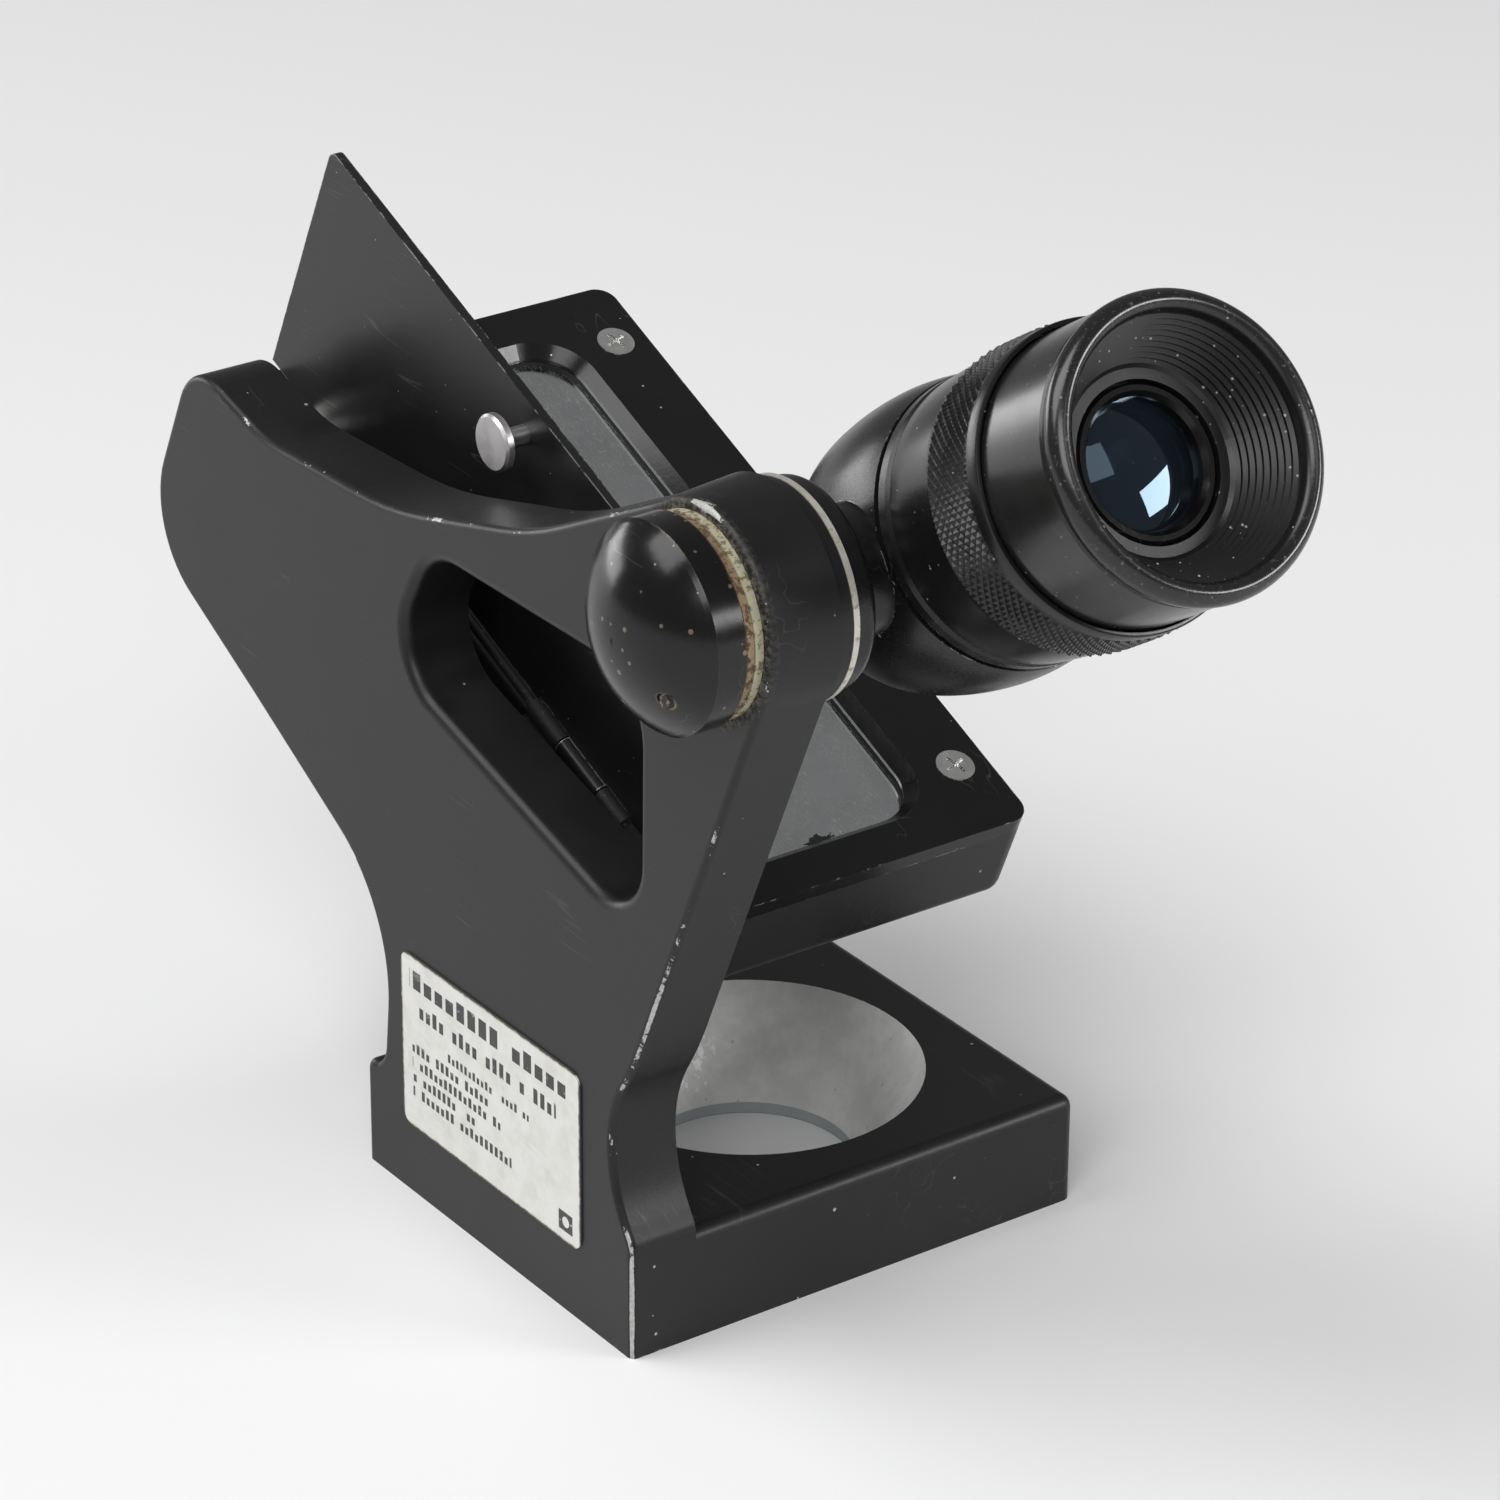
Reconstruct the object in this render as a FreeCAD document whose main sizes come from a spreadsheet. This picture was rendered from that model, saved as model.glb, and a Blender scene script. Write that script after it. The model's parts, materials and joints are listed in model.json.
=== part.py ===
import FreeCAD, Part
import math
import os
import Sketcher
from FreeCAD import BoundBox, Placement, Rotation, Vector

# Grain-focusing magnifier for a darkroom enlarger.
# Frame: origin at the centre of the base aperture on the resting plane, +X from the
# pivot nut towards the free edge of the mirror tray, +Y to the back, +Z up.

# ---------------------------------------------------------------- driving sizes (mm, degrees)
SIZES = {
    # base casting
    "base_left": 43.0, "base_right": 33.0, "base_half_depth": 33.5, "base_height": 16.8,
    "base_corner": 1.6, "base_front_bevel": 1.9,
    "aperture_radius": 15.6, "aperture_land": 1.8, "cone_radius": 25.4,
    # side arm and pivot boss
    "arm_thickness": 10.6, "arm_edge": 1.0, "window_edge": 1.6, "arm_root": 2.4,
    "root_first_y": -30.6, "root_last_y": 27.0,
    "pivot_back": -49.4, "pivot_height": 118.2, "boss_radius": 15.2, "boss_draft": 4.0,
    "boss_step_radius": 14.9, "boss_step": 2.3,
    # mirror tray
    "tray_slope": 22.8, "tray_near_y": -21.9, "tray_near_z": 56.3, "tray_span": 114.8,
    "tray_depth": 16.0, "tray_right": 33.0, "tray_low_round": 2.6, "tray_corner": 3.0,
    "plate_thickness": 2.4, "gasket_thickness": 0.6, "glass_thickness": 3.0,
    "backing_thickness": 0.8, "glass_half_width": 22.0, "glass_start": 4.0, "glass_length": 106.0,
    "glass_centre_x": 0.6, "opening_half_width": 19.2, "opening_start": 8.0, "opening_length": 98.4,
    "opening_corner": 7.0, "opening_bevel": 1.7, "pocket_gap": 0.3,
    "screw_side": 27.9, "screw_first": 12.2, "screw_pitch": 91.6, "screw_head_radius": 2.9,
    "screw_head_depth": 1.5, "screw_radius": 1.25, "screw_length": 6.0,
    "crown_ratio": 2.6, "recess_width": 0.55, "recess_depth": 0.95, "recess_span": 3.3,
    # mirror cover and its hinge
    "hinge_x": -24.9, "hinge_rise": 1.75, "hinge_pin_radius": 0.8, "knuckle_radius": 1.6,
    "cover_thickness": 1.4, "cover_height": 42.9, "cover_first": 2.6, "cover_length": 113.4,
    "cover_far_slant": 1.8, "cover_cut_along": 31.0, "cover_cut_down": 14.0, "cover_corner": 1.6,
    "cover_tail": 1.2,
    "leaf_width": 4.6, "leaf_thickness": 0.6, "rivet_radius": 0.6, "rivet_head_radius": 1.1,
    "rivet_head": 0.35,
    "rivet_inset": 3.2, "leaf_first": 18.0, "leaf_pitch": 52.0, "leaf_length": 24.0,
    "knob_along": 59.5, "knob_up": 37.7, "knob_head_radius": 4.1, "knob_head": 1.9,
    "knob_neck_radius": 1.45, "knob_neck": 3.6,
    # pivot stack
    "shaft_radius": 5.0, "shaft_thread_radius": 4.0, "bush_radius": 7.0,
    "fibre_thickness": 1.2, "fibre_radius": 13.7, "spring_thickness": 1.3, "spring_radius": 13.5,
    "nut_radius": 14.2, "nut_depth": 5.1, "nut_dome": 6.0, "lock_screw_radius": 1.1,
    "lock_side": 5.9, "lock_drop": 7.9, "lock_screw_length": 3.0,
    "thrust_thickness": 0.9, "thrust_radius": 15.0, "flange_radius": 14.3, "flange_depth": 3.6,
    "flange_round": 1.4, "neck_radius": 8.8,
    # eyepiece, stations measured from the pivot along its axis
    "eyepiece_tilt": 33.0, "bulb_radius": 20.35, "bulb_rear": 26.0, "bulb_front": 8.2,
    "bulb_front_radius": 19.7, "bulb_rear_radius": 10.3, "rear_bore": 8.0,
    "reticle_radius": 10.5, "reticle_thickness": 1.5,
    "sleeve_wall": 2.15, "sleeve_radius": 17.5, "sleeve_collar_radius": 19.6,
    "sleeve_collar": 3.2, "sleeve_rear": 2.0, "sleeve_front": 26.0,
    "ring_start": 11.7, "ring_knurl": 22.4, "ring_band": 31.6, "ring_front": 34.2,
    "ring_start_radius": 19.6, "ring_radius": 20.8, "ring_clearance": 0.06, "ring_cup_bore": 19.9,
    "ring_cup_floor": 28.8, "clip_station": 24.5, "clip_thickness": 0.8,
    "tube_wall": 2.1, "tube_rear": 6.5, "tube_front": 39.0,
    "cup_start": 31.4, "cup_radius": 19.6, "cup_front": 51.8, "cup_rim_radius": 20.0,
    "cup_mouth_radius": 17.0, "cup_floor": 41.5, "cup_floor_radius": 12.0, "cup_hole_radius": 10.6,
    "ridge_count": 9, "running_gap": 0.05,
    "field_lens_rear": 10.0, "field_lens_edge": 2.4, "field_rear_bulge": 0.9, "field_front_bulge": 2.2,
    "field_retainer": 1.8, "spacer_wall": 1.5, "eye_lens_radius": 9.6, "eye_lens_rear": 35.6,
    "eye_lens_edge": 3.4, "eye_rear_bulge": 0.6, "eye_front_bulge": 1.2, "cell_rear": 33.6,
    "cell_lip": 1.2, "seat_clearance": 0.2, "retainer_radius": 10.25, "retainer_bore": 8.6,
    # label
    "label_first_y": -21.6, "label_length": 45.0, "label_low": 11.1, "label_tall": 27.7,
    "label_thickness": 0.25, "label_corner": 2.2,
}


class Quantity:
    """A size that carries its value and the spreadsheet expression it comes from."""

    def __init__(self, value, text):
        self.value, self.text = float(value), text

    @staticmethod
    def of(other):
        return other if isinstance(other, Quantity) else Quantity(other, repr(float(other)))

    def _join(self, other, sign, value):
        return Quantity(value, "(%s %s %s)" % (self.text, sign, Quantity.of(other).text))

    def __add__(self, other):
        return self._join(other, "+", self.value + float(other))

    def __sub__(self, other):
        return self._join(other, "-", self.value - float(other))

    def __mul__(self, other):
        return self._join(other, "*", self.value * float(other))

    def __truediv__(self, other):
        return self._join(other, "/", self.value / float(other))

    def __radd__(self, other):
        return Quantity.of(other) + self

    def __rsub__(self, other):
        return Quantity.of(other) - self

    def __rmul__(self, other):
        return Quantity.of(other) * self

    def __neg__(self):
        return Quantity(-self.value, "(-1 * %s)" % self.text)

    def __float__(self):
        return self.value


doc = FreeCAD.newDocument("FocusingMagnifier")
sheet = doc.addObject("Spreadsheet::Sheet", "Sizes")
SIZE = {}
for row, (alias, number) in enumerate(SIZES.items(), start=1):
    sheet.set("A%d" % row, alias)
    sheet.set("B%d" % row, str(number))
    sheet.setAlias("B%d" % row, alias)
    SIZE[alias] = Quantity(number, "Sizes.%s" % alias)
doc.recompute()


def q(alias):
    """The named size as a quantity."""
    return SIZE[alias]


def bind(obj, prop, quantity):
    """Set a property from a quantity and tie it to the spreadsheet."""
    setattr(obj, prop, float(quantity))
    if isinstance(quantity, Quantity):
        obj.setExpression(prop, quantity.text)


FUZZ = 1e-3
# bores and tubes that run in the barrel sleeve
SLEEVE_BORE = q("sleeve_radius") - q("sleeve_wall")
RING_BORE = q("sleeve_radius") + q("ring_clearance")
TUBE_RADIUS = SLEEVE_BORE - q("running_gap")
TUBE_BORE = TUBE_RADIUS - q("tube_wall")


# ---------------------------------------------------------------- frames
SLOPE = math.radians(float(q("tray_slope")))
TILT = math.radians(float(q("eyepiece_tilt")))
PIVOT = Vector(0, float(q("pivot_back")), float(q("pivot_height")))
# the eyepiece axis points forward and up; its turned pieces are drawn along local Z
EYE_AXIS = Vector(0, -math.cos(TILT), math.sin(TILT))
EYE_ROTATION = Rotation(Vector(1, 0, 0), math.degrees(math.pi / 2 - TILT))
# the tray frame: local X along world X, local Y up the slope, local Z off the mirror
TRAY_ROTATION = Rotation(Vector(1, 0, 0), math.degrees(SLOPE))
TRAY_ORIGIN = Vector(0, float(q("tray_near_y")), float(q("tray_near_z")))
TRAY_FRAME = Placement(TRAY_ORIGIN, TRAY_ROTATION)
# turned pieces on the pivot axis: local Z runs along world +X
PIVOT_ROTATION = Rotation(Vector(0, 1, 0), 90)


def eye_place(station=0.0):
    """Placement of a piece turned about the eyepiece axis."""
    return Placement(PIVOT + EYE_AXIS * float(station), EYE_ROTATION)


def pivot_place(x):
    """Placement of a piece turned about the pivot axis, starting at world x."""
    return Placement(Vector(float(x), PIVOT.y, PIVOT.z), PIVOT_ROTATION)


def tray_place(x=0.0, along=0.0, up=0.0):
    """Placement in the tray frame."""
    return TRAY_FRAME * Placement(Vector(float(x), float(along), float(up)), Rotation())


# ---------------------------------------------------------------- builders
NODES = []


def node(obj, label):
    """Register an object as one sub-part under its label."""
    obj.Label = label
    NODES.append((label, obj))
    return obj


def new_body(label):
    """An empty PartDesign body, registered as a sub-part."""
    return node(doc.addObject("PartDesign::Body", "Body_" + label), label)


def origin_plane(body, role):
    """One of the body's own origin planes."""
    return next(f for f in body.Origin.OriginFeatures if f.Role == role)


def new_sketch(body, name, role="XY_Plane", offset=None):
    """A sketch attached to one of the body's own planes."""
    sketch = body.newObject("Sketcher::SketchObject", name)
    sketch.AttachmentSupport = [(origin_plane(body, role), "")]
    sketch.MapMode = "FlatFace"
    if offset is not None:
        sketch.AttachmentOffset = offset
    return sketch


def pin_point(sketch, geo, end, x, y):
    """Fix one sketch vertex by two constraints bound to the sheet."""
    for kind, size in (("DistanceX", x), ("DistanceY", y)):
        if abs(float(size)) < 1e-9:
            axis = -2 if kind == "DistanceX" else -1
            sketch.addConstraint(Sketcher.Constraint("PointOnObject", geo, end, axis))
            continue
        index = sketch.addConstraint(Sketcher.Constraint(kind, -1, 1, geo, end, float(size)))
        if isinstance(size, Quantity):
            sketch.setExpression("Constraints[%d]" % index, size.text)


def polygon(sketch, points):
    """A closed polygon whose every corner is bound to the sheet."""
    first = sketch.GeometryCount
    count = len(points)
    for i, (x, y) in enumerate(points):
        x2, y2 = points[(i + 1) % count]
        sketch.addGeometry(Part.LineSegment(Vector(float(x), float(y), 0), Vector(float(x2), float(y2), 0)))
    for i in range(count):
        sketch.addConstraint(Sketcher.Constraint("Coincident", first + i, 2, first + (i + 1) % count, 1))
    for i, (x, y) in enumerate(points):
        pin_point(sketch, first + i, 1, x, y)


def circle(sketch, x, y, radius):
    """A circle bound to the sheet."""
    geo = sketch.addGeometry(Part.Circle(Vector(float(x), float(y), 0), Vector(0, 0, 1), float(radius)))
    pin_point(sketch, geo, 3, x, y)
    index = sketch.addConstraint(Sketcher.Constraint("Radius", geo, float(radius)))
    if isinstance(radius, Quantity):
        sketch.setExpression("Constraints[%d]" % index, radius.text)


def rounded(sketch, corners):
    """A closed outline of straight runs and tangent arcs; corners are (x, y, radius)."""
    count = len(corners)
    runs = []
    for i, (x, y, radius) in enumerate(corners):
        here = Vector(x, y, 0)
        back = Vector(*corners[i - 1][:2], 0) - here
        ahead = Vector(*corners[(i + 1) % count][:2], 0) - here
        back.normalize()
        ahead.normalize()
        half = back.getAngle(ahead) / 2
        if radius <= 0 or abs(half - math.pi / 2) < 1e-4:
            runs.append((here, here, here))
            continue
        reach = radius / math.tan(half)
        middle = here + (back + ahead).normalize() * (radius / math.sin(half) - radius)
        runs.append((here + back * reach, middle, here + ahead * reach))
    for i, (start, middle, end) in enumerate(runs):
        if (end - start).Length > 1e-6:
            sketch.addGeometry(Part.Arc(start, middle, end))
        following = runs[(i + 1) % count][0]
        if (following - end).Length > 1e-6:
            sketch.addGeometry(Part.LineSegment(end, following))


def pad(body, sketch, length, name, taper=0.0):
    """Extrude a sketch along its normal."""
    feature = body.newObject("PartDesign::Pad", name)
    feature.Profile = sketch
    bind(feature, "Length", length)
    if taper:
        feature.TaperAngle = float(taper)
    sketch.Visibility = False
    doc.recompute()
    return feature


def pocket(body, sketch, length, name, through=False):
    """Cut a sketch away and make sure that it did cut."""
    before = body.Shape.Volume
    feature = body.newObject("PartDesign::Pocket", name)
    feature.Profile = sketch
    if through:
        feature.Type = 1
    else:
        bind(feature, "Length", length)
    doc.recompute()
    if body.Shape.isNull() or body.Shape.Volume > before - FUZZ:
        feature.Reversed = True
        doc.recompute()
    if body.Shape.isNull() or body.Shape.Volume > before - FUZZ:
        raise RuntimeError("%s cut nothing" % name)
    return feature


def revolve(body, sketch, name, cut=False, axis="V_Axis"):
    """Turn a sketch about its own vertical axis, adding or cutting."""
    before = body.Shape.Volume if cut else 0.0
    feature = body.newObject("PartDesign::Groove" if cut else "PartDesign::Revolution", name)
    feature.Profile = sketch
    feature.ReferenceAxis = (sketch, [axis])
    feature.Angle = 360.0
    doc.recompute()
    if cut and body.Shape.Volume > before - FUZZ:
        raise RuntimeError("%s cut nothing" % name)
    return feature


def dress(body, kind, name, edges, size):
    """Fillet or chamfer the chosen edges of the body's tip."""
    feature = body.newObject("PartDesign::" + kind, name)
    feature.Base = (body.Tip if body.Tip != feature else feature.BaseFeature, edges)
    bind(feature, "Radius" if kind == "Fillet" else "Size", size)
    doc.recompute()
    return feature


def pick_edges(shape, test):
    """Names of the edges for which test(edge) holds."""
    return ["Edge%d" % (i + 1) for i, edge in enumerate(shape.Edges) if test(edge)]


def turned(label, profile, placement):
    """A body turned from a polygon of (radius, station) about local Z."""
    body = new_body(label)
    sketch = new_sketch(body, "Profile_" + label, "XZ_Plane")
    polygon(sketch, profile)
    revolve(body, sketch, "Turned_" + label)
    body.Placement = placement
    return body


def ring(label, outer, inner, length, placement):
    """A plain ring or washer from two bound cylinders."""
    outside = doc.addObject("Part::Cylinder", "Outside_" + label)
    inside = doc.addObject("Part::Cylinder", "Inside_" + label)
    bind(outside, "Radius", outer)
    bind(outside, "Height", length)
    bind(inside, "Radius", inner)
    bind(inside, "Height", length)
    cut = doc.addObject("Part::Cut", "Ring_" + label)
    cut.Base, cut.Tool = outside, inside
    cut.Placement = placement
    return node(cut, label)


# ---------------------------------------------------------------- frame casting
def boss_tangent(angle, spread):
    """Corner between two tangents of the boss circle, centred on a bearing in degrees."""
    reach = float(q("boss_radius")) / math.cos(math.radians(spread / 2))
    bearing = math.radians(angle)
    return PIVOT.y + reach * math.cos(bearing), PIVOT.z + reach * math.sin(bearing), float(q("boss_radius"))


def arm_outline():
    """Side-arm outline in (y, z, corner radius), from the base up round the boss and back down."""
    half, base, top = float(q("base_half_depth")), float(q("base_height")), PIVOT.z
    return [
        (-half, 0.0, 0.6), (-half, base + 0.8, 3.0), (8.5 - half, base + 13.6, 20.0),
        (-half - 0.9, base + 29.4, 60.0), boss_tangent(168.4, 70.0), boss_tangent(98.4, 70.0),
        (-10.0, top - 3.4, 70.0), (24.0, top - 12.7, 80.0), (57.0, top - 14.0, 26.0),
        (77.0, top - 8.6, 9.0), (91.8, top - 40.0, 14.5), (62.6, top - 55.4, 50.0),
        (half - 7.1, base + 26.2, 24.0), (half - 4.5, base + 1.2, 5.0), (half, base - 1.6, 2.4),
        (half, 0.0, 0.6),
    ]


def arm_window():
    """Corners of the arm's window in (y, z, corner radius), hung below the pivot."""
    top = PIVOT.z
    return [(-35.6, top - 15.2, 9.0), (-35.2, top - 52.4, 8.5), (25.6, top - 35.2, 9.0),
            (14.6, top - 15.6, 11.0)]


def frame_casting():
    """Base, side arm, pivot boss and mirror tray: one aluminium casting."""
    body = new_body("frame_casting")
    left, right, half = -q("base_left"), q("base_right"), q("base_half_depth")
    plan = new_sketch(body, "BasePlan")
    polygon(plan, [(left, -half), (right, -half), (right, half), (left, half)])
    pad(body, plan, q("base_height"), "BaseBlock")
    height, far = float(q("base_height")), float(right)
    dress(body, "Fillet", "BaseUprights", pick_edges(
        body.Shape, lambda e: e.BoundBox.ZLength > height - FUZZ and abs(e.BoundBox.XMin - far) < FUZZ
        and e.BoundBox.XLength < FUZZ and e.BoundBox.YLength < FUZZ), q("base_corner"))
    dress(body, "Fillet", "BaseFrontRound", pick_edges(
        body.Shape, lambda e: abs(e.BoundBox.ZMin - height) < FUZZ and e.BoundBox.YMax < FUZZ - float(half)
        and e.BoundBox.YLength < FUZZ), q("base_front_bevel"))

    at_face = Placement(Vector(0, 0, -float(q("base_left"))), Rotation())
    arm = new_sketch(body, "ArmOutline", "YZ_Plane", at_face)
    rounded(arm, arm_outline())
    rounded(arm, arm_window())
    pad(body, arm, q("arm_thickness"), "SideArm")

    boss = new_sketch(body, "BossCircle", "YZ_Plane", at_face)
    circle(boss, q("pivot_back"), q("pivot_height"), q("boss_radius"))
    pad(body, boss, q("arm_thickness"), "PivotBoss", taper=float(q("boss_draft")))
    step = new_sketch(body, "BossStep", "YZ_Plane",
                      Placement(Vector(0, 0, float(q("arm_thickness")) - float(q("base_left"))), Rotation()))
    circle(step, q("pivot_back"), q("pivot_height"), q("boss_step_radius"))
    pad(body, step, q("boss_step"), "BossCollar")

    # concave root between the arm's inner face and the top of the base
    root, inner, bite = float(q("arm_root")), float(q("arm_thickness")) - float(q("base_left")), 1.0
    first, last = float(q("root_first_y")), float(q("root_last_y"))
    fillet = new_sketch(body, "ArmRootSection", "XZ_Plane", Placement(Vector(0, 0, -last), Rotation()))
    centre = Vector(inner + root, height + root, 0)
    low, side = Vector(inner + root, height, 0), Vector(inner, height + root, 0)
    middle = centre - Vector(1, 1, 0).normalize() * root
    fillet.addGeometry(Part.Arc(side, middle, low))
    run = [low, Vector(low.x, height - bite, 0), Vector(inner - bite, height - bite, 0),
           Vector(inner - bite, side.y, 0), side]
    for a, b in zip(run, run[1:]):
        fillet.addGeometry(Part.LineSegment(a, b))
    pad(body, fillet, Quantity.of(last - first), "ArmRoot")

    depth, top = float(q("tray_depth")), -float(q("plate_thickness"))
    span, low = float(q("tray_span")), float(q("tray_low_round"))

    def tray_corners(corners):
        out = []
        for along, up, radius in corners:
            point = TRAY_FRAME.multVec(Vector(0, along, up))
            out.append((point.y, point.z, radius))
        return out

    inner_face = Placement(Vector(0, 0, float(q("arm_thickness")) - float(q("base_left")) - 1.0), Rotation())
    tray = new_sketch(body, "TraySection", "YZ_Plane", inner_face)
    rounded(tray, tray_corners([(0, top, 0), (0, -depth, low), (span, -depth, low), (span, top, 0)]))
    pad(body, tray, q("tray_right") + q("base_left") - q("arm_thickness") + 1.0, "MirrorTray")

    # pocket for backing pad and glass, cut down from the tray's rim
    well = new_sketch(body, "GlassWell", "XY_Plane", TRAY_FRAME)
    gap = q("pocket_gap")
    polygon(well, [
        (q("glass_centre_x") - q("glass_half_width") - gap, q("glass_start") - gap),
        (q("glass_centre_x") + q("glass_half_width") + gap, q("glass_start") - gap),
        (q("glass_centre_x") + q("glass_half_width") + gap, q("glass_start") + q("glass_length") + gap),
        (q("glass_centre_x") - q("glass_half_width") - gap, q("glass_start") + q("glass_length") + gap)])
    well_depth = q("plate_thickness") + q("gasket_thickness") + q("glass_thickness") + q("backing_thickness")
    pocket(body, well, well_depth, "GlassWellCut")

    threads = new_sketch(body, "PlateScrewHoles", "XY_Plane", TRAY_FRAME)
    for x in (-q("screw_side"), q("screw_side")):
        for along in (q("screw_first"), q("screw_first") + q("screw_pitch")):
            circle(threads, x, along, q("screw_radius"))
    pocket(body, threads, q("screw_length") + 0.6, "PlateScrewHoleCut")

    cone = new_sketch(body, "ConeSection", "XZ_Plane")
    polygon(cone, [(0.0, 0.0), (q("aperture_radius"), 0.0), (q("aperture_radius"), q("aperture_land")),
                   (q("cone_radius"), q("base_height")), (0.0, q("base_height"))])
    revolve(body, cone, "ApertureCone", cut=True)

    bore = new_sketch(body, "BushBore", "YZ_Plane",
                      Placement(Vector(0, 0, -float(q("base_left"))), Rotation()))
    circle(bore, q("pivot_back"), q("pivot_height"), q("bush_radius"))
    pocket(body, bore, None, "BushBoreCut", through=True)
    return body


def casting_dressing(body):
    """Rounds of the casting's edges."""
    left, right = -float(q("base_left")), float(q("tray_right"))
    rise = Vector(0, -math.sin(SLOPE), math.cos(SLOPE))
    bore_low = float(q("pivot_height")) - float(q("bush_radius"))
    window_box = BoundBox()
    for back, up, _ in arm_window():
        window_box.add(Vector(left, back, up))
    window_box.enlarge(2.0)

    def on_face(edge):
        return edge.BoundBox.XLength < FUZZ and abs(edge.BoundBox.XMin - left) < FUZZ

    def around_bore(edge):
        return edge.Curve.TypeId.endswith("Circle") and abs(edge.BoundBox.ZMin - bore_low) < FUZZ

    def along_rise(edge):
        ends = edge.Vertexes
        if len(ends) != 2 or abs(edge.BoundBox.XMin - right) > FUZZ or edge.BoundBox.XLength > FUZZ:
            return False
        run = ends[1].Point - ends[0].Point
        return run.cross(rise).Length < FUZZ and run.Length > float(q("tray_depth")) / 2

    dress(body, "Fillet", "TrayUprights", pick_edges(body.Shape, along_rise), q("tray_corner"))
    dress(body, "Fillet", "WindowRound", pick_edges(
        body.Shape, lambda e: on_face(e) and window_box.isInside(e.BoundBox)), q("window_edge"))
    dress(body, "Fillet", "ArmRound", pick_edges(
        body.Shape, lambda e: on_face(e) and not window_box.isInside(e.BoundBox) and not around_bore(e)
        and e.BoundBox.ZMax > 1.0), q("arm_edge"))


casting = frame_casting()
casting_dressing(casting)

# label plate glued to the side of the arm
label = new_body("side_label")
label_sketch = new_sketch(label, "LabelOutline", "YZ_Plane",
                          Placement(Vector(0, 0, -float(q("base_left"))), Rotation()))
y0, z0 = float(q("label_first_y")), float(q("label_low"))
y1, z1, rc = y0 + float(q("label_length")), z0 + float(q("label_tall")), float(q("label_corner"))
rounded(label_sketch, [(y0, z0, rc), (y1, z0, rc), (y1, z1, rc), (y0, z1, rc)])
pad(label, label_sketch, q("label_thickness"), "LabelSheet")
label.Tip.Reversed = True
doc.recompute()


# ---------------------------------------------------------------- mirror stack
HINGE_X, HINGE_UP = float(q("hinge_x")), float(q("hinge_rise"))
LEAF_STARTS = [float(q("leaf_first")), float(q("leaf_first")) + float(q("leaf_pitch"))]
KNUCKLES = []
for leaf_start in LEAF_STARTS:
    leaf_end = leaf_start + float(q("leaf_length"))
    KNUCKLES += [("leaf", leaf_start, leaf_start + 6.0), ("cover", leaf_start + 6.3, leaf_end - 8.0),
                 ("leaf", leaf_end - 7.7, leaf_end)]
RIVETS = [(HINGE_X - float(q("rivet_inset")), start + inset)
          for start in LEAF_STARTS for inset in (3.0, float(q("leaf_length")) - 3.0)]


def slab(name, half_width, start, length, low, thickness, centre=None):
    """A rectangular slab in the tray frame, as a bound box."""
    box = doc.addObject("Part::Box", "Slab_" + name)
    bind(box, "Length", half_width * 2)
    bind(box, "Width", length)
    bind(box, "Height", thickness)
    middle = float(q("glass_centre_x")) if centre is None else centre
    box.Placement = tray_place(middle - float(half_width), float(start), float(low))
    return box


glass_top = -(float(q("plate_thickness")) + float(q("gasket_thickness")))
glass_low = glass_top - float(q("glass_thickness"))
node(slab("mirror_glass", q("glass_half_width"), q("glass_start"), q("glass_length"), glass_low,
          q("glass_thickness")), "mirror_glass")
node(slab("mirror_backing", q("glass_half_width"), q("glass_start"), q("glass_length"),
          glass_low - float(q("backing_thickness")), q("backing_thickness")), "mirror_backing")


def opening_corners(margin=0.0):
    """The rounded opening of the face plate, grown by a margin."""
    half = float(q("opening_half_width")) + margin
    middle = float(q("glass_centre_x"))
    first = float(q("opening_start")) - margin
    last = first + float(q("opening_length")) + 2 * margin
    radius = float(q("opening_corner")) + margin
    return [(middle - half, first, radius), (middle + half, first, radius),
            (middle + half, last, radius), (middle - half, last, radius)]


def face_plate():
    """Thin front plate with the rounded opening, countersinks and bevelled lip."""
    body = new_body("mirror_face_plate")
    low = Placement(Vector(0, 0, -float(q("plate_thickness"))), Rotation())
    outline = new_sketch(body, "PlateOutline", "XY_Plane", low)
    left = float(q("arm_thickness")) - float(q("base_left")) + 0.3
    right, span, corner = float(q("tray_right")), float(q("tray_span")), float(q("tray_corner"))
    rounded(outline, [(left, 0, 0.5), (right, 0, corner), (right, span, corner), (left, span, 0.5)])
    rounded(outline, opening_corners())
    pad(body, outline, q("plate_thickness"), "PlateSheet")
    lip = pick_edges(body.Shape, lambda e: abs(e.BoundBox.ZMin) < FUZZ and e.BoundBox.ZLength < FUZZ
                     and e.BoundBox.XMin > -20 and e.BoundBox.XMax < 22 and e.BoundBox.YMin > 5
                     and e.BoundBox.YMax < span - 5)
    dress(body, "Chamfer", "OpeningLip", lip, q("opening_bevel"))
    section = new_sketch(body, "ScrewSeats", "XY_Plane")
    for x in (-q("screw_side"), q("screw_side")):
        for along in (q("screw_first"), q("screw_first") + q("screw_pitch")):
            circle(section, x, along, q("screw_radius"))
    for x, along in RIVETS:
        circle(section, Quantity.of(x), Quantity.of(along), q("rivet_radius"))
    pocket(body, section, None, "ScrewSeatBores", through=True)
    wide = new_sketch(body, "ScrewSinks", "XY_Plane")
    for x in (-q("screw_side"), q("screw_side")):
        for along in (q("screw_first"), q("screw_first") + q("screw_pitch")):
            circle(wide, x, along, q("screw_head_radius"))
    pocket(body, wide, q("screw_head_depth"), "ScrewSinkCut")
    body.Placement = TRAY_FRAME
    return body


plate = face_plate()

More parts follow.
